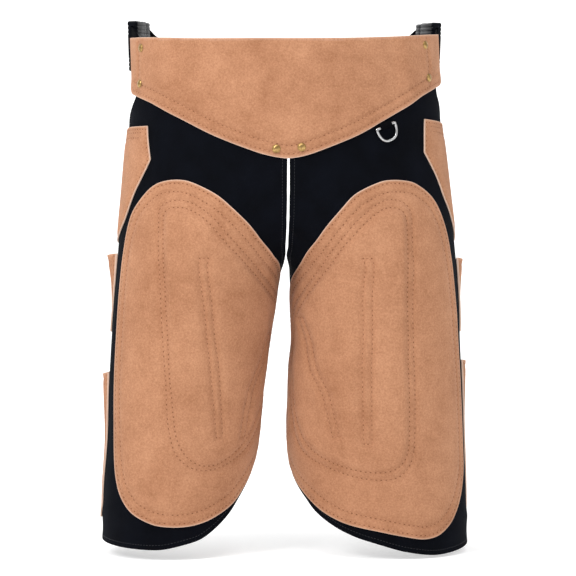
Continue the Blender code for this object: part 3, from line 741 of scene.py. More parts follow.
def clothPiece(name, side, outline, rows, spacing, shape, finish, edgeFinish, slot, node, sheet):
    points, faces = layOut(side, outline, rows, spacing)
    toEdge = nearness(side, points, [closedRow(outline)])
    toSeam = nearness(side, points, rows)
    turns, heights = points.T
    inner, outer = shape(turns, heights, toEdge, toSeam)
    spots = np.vstack([onForm(side, turns, heights, outer), onForm(side, turns, heights, inner)])
    count = len(points)
    if side < 0:
        faces = faces[:, ::-1]
    pairs = {}
    for face in faces:
        for a, b in zip(face, np.roll(face, -1)):
            pairs[(a, b)] = True
    borderPairs = [(a, b) for a, b in pairs if (b, a) not in pairs]
    rimFaces = [(b, a, a + count, b + count) for a, b in borderPairs]
    bothFaces = faces.tolist() + (faces[:, ::-1] + count).tolist()
    mesh = newMesh(name, spots.tolist(), bothFaces + rimFaces, finish, edgeFinish)
    isRim = np.zeros(len(mesh.polygons), np.int32)
    isRim[2 * len(faces):] = 1
    mesh.polygons.foreach_set("material_index", isRim)
    # painted shade: a mark that is full on each stitch row and fades away from it, darkening the suede there
    fillMark(mesh, "paintedSeamShade", np.tile(bell(toSeam, meshing["seamShade"]), 2))
    fillMark(mesh, "nearEdge", np.tile(bell(toEdge, meshing["edgeTone"]), 2))
    fillUv(mesh, flatOf(side, points), count)
    smoothAll(mesh)
    mesh.validate()
    mesh.update()
    piece = link(bpy.data.objects.new(name, mesh))
    bevelled(piece, "rolledEdge", meshing["rim"], angle=55)
    enlist(piece, "apron", slot, node)
    allSheets.append((piece, sheet))

    def surface(spots):
        edge = nearness(side, spots, [closedRow(outline)])
        _, top = shape(spots[:, 0], spots[:, 1], edge, np.zeros(len(spots)))
        return onForm(side, spots[:, 0], spots[:, 1], top)

    return piece, surface


# One stitch and its needle hole, modelled once and laid along every sewn row
stitch = {
    "pitch": 0.0061, "threadRadius": 0.00038, "cover": 0.74, "holeRadius": 0.00165, "holeDepth": 0.00018,
    # the last value on the next line is how much painted seam shade the stitches and needle holes carry
    "seat": -0.00004, "holeSeat": 0.00008, "seamShade": 0.8,
    "holeInner": 0.62, "holeGrow": 1.613,  # the sunk middle as a share of the hole, and the step to its rim
}


def modelStitch():
    inner, grow = stitch["holeInner"], stitch["holeGrow"]
    bpy.ops.object.select_all(action="DESELECT")
    bpy.ops.mesh.primitive_uv_sphere_add(segments=6, ring_count=6, radius=0.5)
    thread = bpy.context.object
    bpy.ops.object.mode_set(mode="EDIT")
    bpy.ops.mesh.select_all(action="SELECT")
    bpy.ops.transform.rotate(value=math.pi / 2, orient_axis="Y", center_override=(0, 0, 0))
    bpy.ops.object.mode_set(mode="OBJECT")
    bpy.ops.object.select_all(action="DESELECT")
    bpy.ops.mesh.primitive_circle_add(vertices=8, radius=inner, fill_type="TRIFAN")
    hole = bpy.context.object
    bpy.ops.object.mode_set(mode="EDIT")
    bpy.ops.mesh.select_mode(type="EDGE")
    bpy.ops.mesh.select_all(action="DESELECT")
    bpy.ops.mesh.select_non_manifold()
    bpy.ops.mesh.extrude_edges_move()
    bpy.ops.transform.resize(value=(grow, grow, 1), center_override=(0, 0, 0))
    bpy.ops.object.mode_set(mode="OBJECT")
    shapes = []
    for made in (thread, hole):
        made.data.calc_loop_triangles()
        spots = np.array([tuple(corner.co) for corner in made.data.vertices])
        shapes.append((spots, np.array([tuple(face.vertices) for face in made.data.loop_triangles])))
        bpy.data.objects.remove(made)
    return shapes


threadShape, holeShape = modelStitch()
holeOut = np.hypot(holeShape[0][:, 0], holeShape[0][:, 1])
holeRings = (0, stitch["holeInner"], 1)
# painted shade inside each needle hole: full at its middle, less at the inner ring, none at its rim
holeShadeRamp = np.interp(holeOut, holeRings, (1, 0.42, 0))
holeShape[0][:, 2] = np.interp(holeOut, holeRings, (0, 1, -0.4))


def sewRows(
    name, side, surface, rows, threadFinish, holeFinish, slot, pitch=stitch["pitch"], holes=True, scale=1.0,
):
    spots, faces, kinds, holeShades = [], [], [], []
    total = 0
    for row in rows:
        places = resample(side, row, pitch, False)
        top = surface(places)
        out = outwards(side, places[:, 0], places[:, 1])
        for k in range(len(top) - 1):
            run = top[k + 1] - top[k]
            length = np.linalg.norm(run)
            run = run / length
            up = out[k] - run * (out[k] @ run)
            up /= np.linalg.norm(up)
            across = np.cross(up, run)
            thick = stitch["threadRadius"] * 2 * scale
            frameOf = np.stack([run * length * stitch["cover"], across * thick, up * thick])
            middle = (top[k] + top[k + 1]) / 2 + up * stitch["seat"]
            spots.append(threadShape[0] @ frameOf + middle)
            faces.append(threadShape[1] + total)
            kinds.append(np.zeros(len(threadShape[1]), np.int32))
            holeShades.append(np.zeros(len(threadShape[0])))
            total += len(threadShape[0])
            if not holes:
                continue
            wide = stitch["holeRadius"] * scale
            frameOf = np.stack([run * wide, across * wide, up * stitch["holeDepth"]])
            spots.append(holeShape[0] @ frameOf + top[k] + up * stitch["holeSeat"])
            faces.append(holeShape[1] + total)
            kinds.append(np.ones(len(holeShape[1]), np.int32))
            holeShades.append(holeShadeRamp)
            total += len(holeShadeRamp)
    mesh = newMesh(name, np.vstack(spots).tolist(), np.vstack(faces).tolist(), threadFinish, holeFinish)
    mesh.polygons.foreach_set("material_index", np.concatenate(kinds))
    smoothAll(mesh)
    # painted shade for the needle holes, read by the hole material
    fillMark(mesh, "paintedHoleShade", np.concatenate(holeShades))
    # painted shade: the stitches and needle holes carry the seam shade too
    fillMark(mesh, "paintedSeamShade", np.full(total, stitch["seamShade"]))
    mesh.update()
    return enlist(link(bpy.data.objects.new(name, mesh)), "apron", slot)


# Waist panel
print("waist panel")
waist = {
    "cut": (
        (-83, 42, 1), (-81, -8), (-80, -27, 1), (-77, -33), (-69, -39), (-57, -50), (-40, -74), (-26, -96),
        (-11.5, -116), (-6, -121.5), (-1, -124), (4, -121.5), (9, -116), (24, -94.5), (35.5, -74),
        (50, -50), (57.5, -38), (69, -26), (77, -20), (81, -15, 1), (80.5, 15), (80, 48, 1), (62, 42),
        (45, 36), (22, 30), (-1, 28), (-33, 30), (-67, 38),
    ),
    "flat": (0.530, 0.172), "area": 0.0615,
    "rowAways": (0.0056, 0.0163),
    "rowFrom": (-78.5, -26), "rowTo": (79, -16),
    "endRows": (((-69, 33), (-70, -28)), ((62, 38), (63.5, -24))),
    "waves": (  # the panel's own broad ups and downs: turn, height, half width and rise in millimetres
        (-48, -10, 34, 1.2), (-20, -60, 30, -0.9), (14, 4, 40, 0.8), (40, -30, 30, -1.0),
        (66, 10, 22, 0.8), (-70, 0, 20, -0.8), (2, -95, 22, 0.9),
    ),
    "waveDegree": 3.2,
    "between": (0.00075, 0.0030), "dip": (0.00060, 0.0013), "edgeDrop": (0.0004, 0.003),
}


def edgeDrop(toEdge, drop, width):
    return drop * (1 - ease(0, width, toEdge))


def waistShape(turns, heights, toEdge, toSeam):
    base = coverLift + (waistEndLift - coverLift) * ease(40, 49, np.abs(turns))
    base = base + np.where(turns < 0, bodyRelief(-1, -turns, heights), bodyRelief(1, turns, heights))
    x, y = turns * waist["waveDegree"], heights * 1000
    for turn, height, wide, rise in waist["waves"]:
        away = np.hypot(x - turn * waist["waveDegree"], y - height)
        base = base + rise / 1000 * bell(away, wide) * ease(0.0, 0.02, toEdge)
    rise, width = waist["between"]
    between = rise * (1 - bell(toSeam, width)) * (1 - ease(0.006, 0.016, toSeam))
    depth, width = waist["dip"]
    dip = depth * bell(toSeam, width)
    return base, base + suedeThick + between - dip - edgeDrop(toEdge, *waist["edgeDrop"])


waistOutline = smoothCut(waist["cut"])
waistRows = []
for away in waist["rowAways"]:
    waistRows.append(stretchOf(offsetInside(1, waistOutline, away), waist["rowFrom"], waist["rowTo"]))
waistRows += [openCurve(row) for row in waist["endRows"]]
waistSheet = {
    "flat": waist["flat"], "area": waist["area"], "held": "stretched",
    "rests_on": ["right_leg_panel", "left_leg_panel"],
}
waistPiece, waistSurface = clothPiece(
    "suedeWaistPanel", 1, waistOutline, waistRows, meshing["suede"], waistShape, tanSuede, rawEdge, "suede",
    "waist_panel", waistSheet,
)
sewnOn["suedeWaistPanel"] = sewRows(
    "waistPanelStitches", 1, waistSurface, waistRows, tanThread, needleHoles, "suede",
)
print("waist panel triangles", len(waistPiece.data.polygons))

# Leg panels, patches, hip panels and pockets
legPanels = {
    -1: (
        (-86, -264), (-93, -285), (-97, -320), (-98, -380), (-98, -470), (-93, -505), (-84, -525),
        (-73, -538), (-60, -556), (-48, -576), (-34.5, -594), (-22, -607), (-8, -614), (10, -620),
        (35, -620), (72, -617), (98, -613), (110, -604), (114, -585), (115, -500), (117, -330),
        (118, -200), (116, -130), (110, -92), (98, -72), (86, -58), (79.5, -46), (75, -34), (74, 34, 1),
        (60, 30), (33, 24),
    ),
    1: (
        (-86, -266), (-93, -288), (-97, -322), (-98, -380), (-98, -480), (-95, -515), (-88, -532),
        (-80, -541), (-65, -559), (-53, -577), (-36, -595), (-22, -606), (-8, -614), (10, -624),
        (33, -630), (71, -625), (98, -620), (110, -610), (114, -590), (115, -500), (117, -330),
        (118, -200), (116, -126), (110, -86), (98, -66), (87, -52), (81, -41), (76, -30), (74, 38, 1),
        (60, 34), (33, 26),
    ),
}
canvasLeg = {
    "slitHalf": 0.0016, "slitTop": 0.0225, "slitBottom": -0.248, "slitSteps": 24,
    "hemWidth": 0.0075, "hemRise": 0.0005, "spacing": 0.0046, "dip": (0.00035, 0.0012),
    "rowInside": 0.0015, "rowFrom": -100, "rowTo": (78, -60), "pitch": 0.0040, "threadScale": 0.8,
    "flat": {-1: (0.505, 0.655), 1: (0.515, 0.665)}, "area": {-1: 0.232, 1: 0.250},
}


def slitTurn(side, height):
    low, high = -90.0, 90.0
    for _ in range(30):
        middle = (low + high) / 2
        if side * onForm(side, middle, height, canvasThick)[0] < canvasLeg["slitHalf"]:
            low = middle
        else:
            high = middle
    return (low + high) / 2


def legOutline(side):
    top, bottom, steps = (canvasLeg[key] for key in ("slitTop", "slitBottom", "slitSteps"))
    slit = [(slitTurn(side, top), top * 1000, 1)]
    for k in range(1, steps + 1):
        height = top + (bottom - top) * k / steps
        slit.append((slitTurn(side, height), height * 1000))
    return smoothCut(tuple(slit) + legPanels[side])


def buildLeg(side):
    outline = legOutline(side)
    hemWidth = canvasLeg["hemWidth"]
    hem = offsetInside(side, outline, hemWidth - canvasLeg["rowInside"])
    start = (slitTurn(side, canvasLeg["rowFrom"] / 1000), canvasLeg["rowFrom"])
    rows = [stretchOf(hem, start, canvasLeg["rowTo"])]

    def shape(turns, heights, toEdge, toSeam):
        base = bodyRelief(side, turns, heights)
        band = canvasLeg["hemRise"] * (1 - ease(hemWidth - 0.0008, hemWidth + 0.0008, toEdge))
        depth, width = canvasLeg["dip"]
        return base - 0.5 * band, base + canvasThick + band - depth * bell(toSeam, width)

    flat, area = canvasLeg["flat"][side], canvasLeg["area"][side]
    sheet = {"flat": flat, "area": area, "held": "hung", "rests_on": ["waist_panel"]}
    name = f"{sideName[side]}CanvasLeg"
    piece, surface = clothPiece(
        name, side, outline, rows, canvasLeg["spacing"], shape, blackCanvas, blackCanvas, "canvas",
        f"{sideName[side]}_leg_panel", sheet,
    )
    sewnOn[name] = sewRows(
        f"{sideName[side]}CanvasStitches", side, surface, rows, blackThread, blackCanvas, "canvas",
        canvasLeg["pitch"], False, canvasLeg["threadScale"],
    )
    print("leg triangles", len(piece.data.polygons))


# Suede pieces that are sewn on a leg panel
def sewSuede(side, part, sewing, node, outline, rows, shape, flat, area, spacing=meshing["suede"]):
    name = f"{sideName[side]}{part}"
    sheet = {"flat": flat, "area": area, "held": "laid", "rests_on": [f"{sideName[side]}_leg_panel"]}
    node = f"{sideName[side]}_{node}"
    piece, surface = clothPiece(
        name, side, outline, rows, spacing, shape, tanSuede, rawEdge, "suede", node, sheet,
    )
    stitches = sewRows(f"{sideName[side]}{sewing}", side, surface, rows, tanThread, needleHoles, "suede")
    sewnOn[name] = stitches
    print(name, "triangles", len(piece.data.polygons), len(stitches.data.polygons))


# The cut of each patch, its two pad rows, and its two pairs of channel rows
patches = {
    -1: {
        "cut": (
            (40, -149.5), (33, -152), (20, -166), (5.5, -186), (-11, -207), (-28, -226), (-50, -246),
            (-70, -260), (-85, -278), (-92, -305), (-94, -350), (-94, -465), (-88, -500), (-77, -524),
            (-62, -547), (-49, -565), (-29, -582), (-15, -589), (0, -591), (16, -588), (35, -574),
            (47, -553), (55.5, -524), (61, -488), (63.5, -430), (65, -370), (66, -300), (65, -240),
            (62.5, -194), (54, -164), (48, -153),
        ),
        "pad": (
            (-79, -301), (-67.2, -288), (-50.8, -272), (-41.2, -261), (-30.2, -249), (-22, -240),
            (-14.5, -231), (-6.2, -221), (1.5, -211), (9.2, -200), (16, -191), (22.2, -183.5), (27, -179),
            (31, -176.5), (35, -176), (38.5, -178), (41, -182.5), (41.2, -191), (36, -216), (30.8, -242),
            (26.4, -268), (22, -318), (19, -353), (14.2, -407), (11.4, -453), (10, -467), (7, -486),
            (3.5, -498), (-1.2, -507), (-6.2, -513), (-12, -517.5), (-19, -519.5), (-26, -518.5),
            (-34, -515), (-43.5, -507.5), (-54.5, -496), (-65.8, -480), (-73, -466), (-79, -441),
            (-83, -405), (-84, -360), (-83, -325),
        ),
        "padInner": (
            (-74, -306), (-65, -298), (-52.2, -285), (-44.8, -275), (-37, -265), (-30, -256.5),
            (-22.8, -248), (-15, -239), (-7.2, -229), (1, -218), (9, -207), (15.8, -198), (20, -193),
            (24.8, -188.5), (29, -186), (33, -185.5), (36.4, -188), (37, -196), (28.4, -235), (22, -274),
            (19.2, -306), (16.6, -334), (14.5, -360), (11.2, -404), (9.2, -423), (7.5, -444), (4.8, -472),
            (2.4, -484), (-1.5, -495), (-7.2, -505), (-13.5, -511), (-20, -513.5), (-27, -512.5),
            (-34, -508), (-42, -499.5), (-50.2, -487), (-58, -472), (-66, -454), (-73, -433), (-77, -400),
            (-78, -360), (-77, -325),
        ),
        "channel": (((2, -250), (-7.5, -314), (-13, -362), (-17.5, -402), (-25, -478)),
                    ((-3.5, -250), (-12.5, -310), (-17.5, -352), (-23, -396), (-30, -478))),
        "slant": (((-76, -346), (-66, -388), (-56, -424), (-51, -478)),
                  ((-70, -344), (-60, -386), (-50, -424), (-46, -478))),
        "flat": (0.345, 0.455), "area": 0.113,
    },
    1: {
        "cut": (
            (38, -149.5), (30, -151.5), (16.5, -166), (3.5, -186), (-11, -206), (-27.5, -226), (-47, -246),
            (-68, -266), (-82, -283), (-91, -308), (-94, -350), (-94, -480), (-89, -512), (-80, -533),
            (-62, -556), (-45, -576), (-28, -589), (-6, -598), (10, -604.5), (23, -608.5), (35, -604.5),
            (48, -588), (60, -558), (67.5, -524), (69, -486), (68.5, -410), (65.5, -340), (62, -266),
            (61, -214), (56, -174), (46, -153),
        ),
        "pad": (
            (-74, -316), (-67, -302), (-60.8, -293), (-53, -281), (-45.8, -269.5), (-41, -262),
            (-34, -252), (-25.8, -242), (-18.5, -233), (-10.8, -223), (-3, -213), (4.2, -203),
            (11.4, -193.5), (17, -186), (21.5, -180.5), (25.5, -176.5), (29.2, -175), (33, -176),
            (35.6, -180), (36.4, -187), (35.3, -197), (29.5, -222), (23.6, -253), (21, -287), (19.8, -328),
            (19.9, -366), (20.8, -400), (20.8, -443), (20.3, -481), (19.6, -494), (18, -505), (15.3, -515),
            (11.2, -524), (7, -529), (2, -531.3), (-4, -532), (-10.5, -531), (-17, -529), (-24, -526),
            (-32.2, -521), (-41.2, -515), (-50, -508), (-60, -496), (-69, -468), (-75, -427), (-79, -369),
            (-79, -335),
        ),
        "padInner": (
            (-70, -325), (-62.4, -312), (-55.2, -299.5), (-48.2, -287), (-41.5, -275), (-34.8, -263),
            (-27.2, -252), (-19.2, -241), (-11.2, -230), (-2.8, -219.5), (4.2, -210), (12, -199.5),
            (18, -192), (22.8, -187), (27, -185.5), (30.2, -187.5), (31.4, -193), (30.4, -202), (26, -222),
            (19.2, -254), (17.2, -275), (16.2, -307), (15.8, -366), (16.6, -424), (16.5, -468),
            (15.6, -490), (13.2, -504.5), (9, -514.5), (3.8, -520), (-3, -522), (-10.2, -521.8),
            (-16.5, -520), (-23.8, -517), (-31.8, -512), (-40.2, -505), (-47.8, -496.5), (-55, -484),
            (-63, -459), (-69, -426), (-73, -368), (-73.5, -343),
        ),
        "channel": (((-8.5, -250), (-12.5, -302), (-13.5, -366), (-12.5, -430), (-12, -486)),
                    ((-3, -250), (-6.5, -302), (-7.5, -366), (-7, -430), (-7, -486))),
        "slant": (((-66, -326), (-59, -352), (-49.5, -396), (-40, -424), (-32, -478)),
                  ((-60, -326), (-53, -352), (-44, -394), (-35, -424), (-27.5, -478))),
        "flat": (0.350, 0.470), "area": 0.122,
    },
}
patchSewing = {  # pairs: rise or depth, and the width over which it comes
    "edgeRows": (0.0045, 0.0156), "puff": (0.0024, 0.0046), "flatShare": 0.42, "padRise": 0.0022,
    "padEdge": 0.016, "groove": (0.00070, 0.0016), "edgeDrop": (0.0005, 0.0035), "uneven": 0.00035,
    "unevenScale": 38, "spacing": 0.0036,
}


def buildPatch(side):
    cut = patches[side]
    outline = smoothCut(cut["cut"])
    pad = smoothCut(cut["pad"])
    rows = [closedRow(offsetInside(side, outline, away)) for away in patchSewing["edgeRows"]]
    rows += [closedRow(pad), closedRow(smoothCut(cut["padInner"]))]
    for pair in (cut["channel"], cut["slant"]):
        lines = [openCurve(line) for line in pair]
        rows += lines
        for end in (0, -1):
            rows.append(np.array([line[end] for line in lines]))

    def shape(turns, heights, toEdge, toSeam):
        points = np.stack([turns, heights], axis=-1)
        inPad = np.where(insideOf(points, pad), 1.0, 0.0)
        inPad = inPad * ease(0.0, patchSewing["padEdge"], nearness(side, points, [closedRow(pad)]))
        base = bodyRelief(side, turns, heights) + coverLift
        rise, width = patchSewing["puff"]
        share = patchSewing["flatShare"]
        puff = rise * (share + (1 - share) * inPad) * (1 - bell(toSeam, width))
        depth, width = patchSewing["groove"]
        uneven = unevenness(onForm(side, turns, heights), patchSewing["unevenScale"], 3 + side)
        top = base + suedeThick + puff + patchSewing["padRise"] * inPad - depth * bell(toSeam, width)
        top = top + patchSewing["uneven"] * uneven * ease(0, 0.01, toEdge)
        return base, top - edgeDrop(toEdge, *patchSewing["edgeDrop"])

    sewSuede(
        side, "ThighPatch", "PatchStitches", "thigh_patch", outline, rows, shape, cut["flat"], cut["area"],
        patchSewing["spacing"],
    )


hipPanels = {
    -1: (
        (60, -78, 1), (58.2, -100), (56, -122, 1), (61, -150), (64.5, -168), (70, -198), (80, -217),
        (92, -226), (107, -229, 1), (108, -160), (106, -112), (97, -86), (84, -77),
    ),
    1: (
        (59, -68, 1), (57.8, -90), (56.5, -112, 1), (63, -142), (67, -168), (72, -186), (79, -206),
        (92, -224), (107, -231, 1), (108, -155), (106, -106), (97, -80), (84, -70),
    ),
}
hipSewing = {
    "edge": 0.0040, "topRows": (0.0085, 0.0150), "puff": (0.0006, 0.0040), "groove": (0.0006, 0.0013),
    "edgeDrop": (0.0004, 0.003),
}


def suedeRise(toSeam, sewing):
    # how far sewn suede rises between its seams, and sinks at them
    rise, width = sewing["puff"]
    depth, narrow = sewing["groove"]
    return suedeThick + rise * (1 - bell(toSeam, width)) - depth * bell(toSeam, narrow)


def buildHip(side):
    outline = smoothCut(hipPanels[side])
    first, last = hipPanels[side][0], hipPanels[side][-2]
    rows = [closedRow(offsetInside(side, outline, hipSewing["edge"]))]
    for away in hipSewing["topRows"]:
        rows.append(stretchOf(offsetInside(side, outline, away), last[:2], first[:2]))

    def shape(turns, heights, toEdge, toSeam):
        base = bodyRelief(side, turns, heights) + coverLift
        return base, base + suedeRise(toSeam, hipSewing) - edgeDrop(toEdge, *hipSewing["edgeDrop"])

    flat, area = flatSize(side, outline)
    sewSuede(side, "HipPanel", "HipStitches", "hip_panel", outline, rows, shape, flat, area)


# Columns: first turn, last turn, mouth and bottom heights, stand-off of the mouth and lean
# of the front edge, then the flat cut
pocketCuts = {
    (-1, "Upper"): (83, 109, -242, -345, 13, 4, (0.062, 0.112), 0.0056),
    (-1, "Lower"): (82, 109, -398, -588, 7, 0, (0.060, 0.198), 0.0098),
    (1, "Upper"): (82, 109, -247, -345, 9, 4, (0.062, 0.106), 0.0056),
    (1, "Lower"): (83, 109, -382, -590, 6, 9, (0.060, 0.216), 0.0102),
}
pocketFall = smoothThrough((0, 0.2, 0.4, 0.6, 0.8, 1), (1, 0.62, 0.3, 0.12, 0.03, 0))
pocketSewing = {
    "edgeRows": (0.0034, 0.0090), "mouthRow": 0.0075, "puff": (0.0005, 0.0040), "groove": (0.0005, 0.0013),
}


def buildPocket(side, level):
    first, last, mouth, bottom, standOff, lean, flat, area = pocketCuts[(side, level)]
    cut = (
        (first, mouth, 1), (first + lean / 2, (mouth + bottom) / 2), (first + lean, bottom + 14, 1),
        (first + lean + 4, bottom, 1), (last - 3, bottom, 1), (last, bottom + 14, 1),
        (last, (mouth + bottom) / 2), (last, mouth, 1), ((first + last) / 2, mouth - 2),
    )
    outline = smoothCut(cut)
    rows = []
    for away in pocketSewing["edgeRows"]:
        inner = offsetInside(side, outline, away)
        rows.append(stretchOf(inner, (first + 1, mouth - 4), (last - 1, mouth - 4)))
    mouthRow = offsetInside(side, outline, pocketSewing["mouthRow"])
    rows.append(stretchOf(mouthRow, (last - 4.5, mouth - 7), (first + 4.5, mouth - 7)))

    def shape(turns, heights, toEdge, toSeam):
        share = np.clip((mouth - heights * 1000) / (mouth - bottom), 0, 1)
        edge = first + lean * share
        across = np.clip((turns - edge) / (last - edge), 0, 1)
        swell = np.sin(np.pi * across) ** 0.8
        base = bodyRelief(side, turns, heights) + coverLift + standOff / 1000 * pocketFall(share) * swell
        return base, base + suedeRise(toSeam, pocketSewing)

    part, node = f"{level}Pocket", f"{level.lower()}_pocket"
    sewSuede(side, part, f"{part}Stitches", node, outline, rows, shape, flat, area)


for side in (-1, 1):
    print("leg panel", sideName[side])
    buildLeg(side)
    print("suede of the leg", sideName[side])
    buildPatch(side)
    buildHip(side)
    for level in ("Upper", "Lower"):
        buildPocket(side, level)

# Webbing: the belt and the leg straps
print("webbing")
webbing = {
    "beltWidth": 0.050, "endWidth": 0.060, "legWidth": 0.038, "legHeight": -0.360,
    "beltBuckle": (84.5, 115.0), "legBuckle": (144.0, 177.0), "beltReach": 0.146, "legReach": 0.18,
    "step": 1.3, "ripple": 0.00012, "rippleScale": 45,
    "rowHalf": 0.42, "rowPitch": 0.07, "threadCover": 0.82, "threadWide": 0.0010, "threadThick": 0.0009,
}
# Across half of the webbing: share of the width, share of the thickness
selvedgeHalf = ((0.1, 1.0), (0.3, 1.0), (0.43, 0.93), (0.45, 1.0), (0.478, 0.95), (0.492, 0.72), (0.5, 0.30))
selvedge = tuple((-across, thick) for across, thick in selvedgeHalf[::-1]) + selvedgeHalf
beltRise = smoothThrough(
    (50, 66, 84.5, 115, 123, 134, 180), (0.003, 0.006, 0.032, 0.040, 0.030, 0.024, 0.020),
)


def beltMiddle(turn):
    start, end = webbing["beltBuckle"]
    turn = min(turn, 360 - turn)
    if start < turn < end:
        share = (turn - start) / (end - start)
        return float(beltRise(start) * (1 - share) + beltRise(end) * share)
    return float(beltRise(turn))


def beltWidthAt(turn):
    change = webbing["beltWidth"] - webbing["endWidth"]
    return webbing["endWidth"] + change * float(ease(76, 84, turn))


# Each strap: middle height and width at a turn, lift, the turns of its buckle and the buckle's height
low, high = webbing["beltBuckle"]
beltSpan = webbing["beltReach"] * (high - low)
beltHeights = (beltMiddle(low), beltMiddle(high))
legHeights = (webbing["legHeight"], webbing["legHeight"])
belt = {
    "middle": beltMiddle, "width": beltWidthAt, "lift": webbingLift, "bends": (low, high),
    "level": sum(beltHeights) / 2,
}
legStrap = {
    "middle": lambda turn: webbing["legHeight"], "width": lambda turn: webbing["legWidth"],
    "lift": legStrapLift, "bends": webbing["legBuckle"], "level": webbing["legHeight"],
}


def strapPlace(side, turn, height, lift, strap):
    # on the form, but straight between the two bends of each buckle
    low, high = strap["bends"]
    for start, end in ((low, high), (360 - high, 360 - low)):
        if start < turn < end:
            share = (turn - start) / (end - start)
            first, last = (onForm(side, bend, strap["level"], lift) for bend in (start, end))
            here = first * (1 - share) + last * share
            here[2] = height
            return here
    return onForm(side, turn, height, lift)


def stripFaces(count, loop, flipStart, flipEnd):
    # the faces of a strip: loops of points joined end to end, and a cap of quads at each end
    faces = []
    for k in range(count - 1):
        for j in range(loop):
            a, b = k * loop + j, k * loop + (j + 1) % loop
            faces.append((a, b, b + loop, a + loop))
    for k, flip in ((0, flipStart), (count - 1, flipEnd)):
        for j in range(loop // 2 - 1):
            a, b = k * loop + j, k * loop + j + 1
            c, d = k * loop + loop - 2 - j, k * loop + loop - 1 - j
            faces.append((a, d, c, b) if flip else (a, b, c, d))
    return faces


def strapPiece(name, side, turns, strap, node, rests):
    first, last = turns
    bends = (*strap["bends"], *(360 - bend for bend in strap["bends"]))
    fixed = [first, last] + [bend for bend in bends if first < bend < last]
    steps = np.arange(first, last, webbing["step"])
    stations = sorted(fixed + [step for step in steps if min(abs(step - stop) for stop in fixed) > 0.5])
    spots, laid = [], []
    along, before = 0.0, None
    for turn in stations:
        middle, width = strap["middle"](turn), strap["width"](turn)
        centre = strapPlace(side, turn, middle, strap["lift"], strap)
        along += 0.0 if before is None else float(np.linalg.norm(centre - before))
        before = centre
        ripple = webbing["ripple"] * noise.noise(Vector(centre) * webbing["rippleScale"])
        for face, row in ((1, selvedge), (-1, selvedge[::-1])):
            for across, thick in row:
                off = strap["lift"] + webbingThick / 2 + ripple + face * webbingThick * thick / 2
                spots.append(strapPlace(side, turn, middle + across * width, off, strap))
                laid.append((along, across * width))
    faces = stripFaces(len(stations), 2 * len(selvedge), True, False)
    if side > 0:
        faces = [face[::-1] for face in faces]
    mesh = newMesh(name, [tuple(spot) for spot in spots], faces, blackWebbing)
    fillUv(mesh, np.array(laid), len(laid))
    smoothAll(mesh)
    mesh.update()
    piece = enlist(link(bpy.data.objects.new(name, mesh)), "apron", "webbing", node)
    flat = (along, strap["width"]((first + last) / 2))
    allSheets.append((piece, {"flat": flat, "held": "stretched", "rests_on": rests}))


def strapRows(name, side, turns, strap):
    spots, faces = [], []
    total = 0
    for turn in turns:
        middle, width = strap["middle"](turn), strap["width"](turn)
        lift = strap["lift"] + webbingThick
        half, pitch = webbing["rowHalf"], webbing["rowPitch"]
        heights = middle + np.arange(-half, half + 0.01, pitch) * width
        top = np.array([strapPlace(side, turn, height, lift, strap) for height in heights])
        run = strapPlace(side, turn + 0.5, middle, lift, strap) - strapPlace(side, turn, middle, lift, strap)
        run /= np.linalg.norm(run)
        up = np.cross(run, (0, 0, 1)) * side
        for k in range(len(top) - 1):
            length = np.linalg.norm(top[k + 1] - top[k]) * webbing["threadCover"]
            wide, thick = run * webbing["threadWide"], up * webbing["threadThick"]
            frameOf = np.stack([np.array((0, 0, length)), wide, thick])
            spots.append(threadShape[0] @ frameOf + (top[k] + top[k + 1]) / 2)
            faces.append(threadShape[1] + total)
            total += len(threadShape[0])
    mesh = newMesh(name, np.vstack(spots).tolist(), np.vstack(faces).tolist(), blackThread)
    smoothAll(mesh)
    mesh.update()
    fixNormals(mesh)
    return enlist(link(bpy.data.objects.new(name, mesh)), "apron", "webbing")


for side in (-1, 1):
    start = sideName[side]
    turns, rests = (50, low + beltSpan), [f"{start}_leg_panel"]
    strapPiece(f"{start}BeltEnd", side, turns, belt, f"{start}_belt_end", rests)
strapPiece(
    "backBelt", 1, (high - beltSpan, 360 - high + beltSpan), belt, "back_belt",
    ["right_belt_buckle_prongs", "left_belt_buckle_prongs"],
)
sewnOn["backBelt"] = strapRows(
    "backBeltStitches", 1, (high + 9, high + 10.5, 360 - high - 10.5, 360 - high - 9), belt,
)
first, last = webbing["legBuckle"]
legSpan = webbing["legReach"] * (last - first)
for side in (-1, 1):
    start = sideName[side]
    for part, turns, rows in (
        ("Outer", (100, first + legSpan), (first - 8, first - 6.5)),
        ("Inner", (last - legSpan, 276), (last + 6.5, last + 8)),
    ):
        name = f"{start}LegStrap{part}"
        strapPiece(name, side, turns, legStrap, f"{start}_leg_strap_{part.lower()}", [f"{start}_leg_panel"])
        sewnOn[name] = strapRows(f"{name}Stitches", side, rows, legStrap)

# Side-release buckles. X runs along the strap from the front, Y outwards, Z across.
print("buckles")
buckleSizes = {
    "socket": (0.046, 0.014, 0.066), "base": (0.020, 0.012, 0.064), "gap": 0.0006,
    "mouth": (0.030, 0.0075, 0.054), "slot": (0.0130, 0.0034, 0.0525), "window": (0.0130, 0.0060, 0.080),
    "prong": (0.024, 0.0050, 0.0080), "guide": (0.020, 0.0050, 0.0100), "rounding": 0.0026,
    "grooves": (0.0165, 0.0215, 0.0265), "groove": (0.060, 0.0018, 0.0022), "fine": 0.0007,
    "panel": (0.022, 0.0012, 0.022), "panelShift": 0.004, "windowIn": 0.019, "cutPast": 0.001,
    "mouthPast": 0.002, "step": (0.0034, 0.0052, 0.0021), "stepOut": 0.0002,
    "steps": (-0.027, -0.0215, -0.016, 0.016, 0.0215, 0.027),
    "scoop": (0.018, 0.030, 0.004), "scoopOut": 0.0345, "prongOut": 0.0215, "prongBack": 0.004,
    "tip": (0.0085, 0.0046, 0.0085), "tipBack": 0.0085, "tipOut": 1.05, "edge": 0.0003,
}
buckleLength = buckleSizes["socket"][0] + buckleSizes["base"][0] + buckleSizes["gap"]
seam = buckleSizes["socket"][0] - buckleLength / 2  # the socket's open end


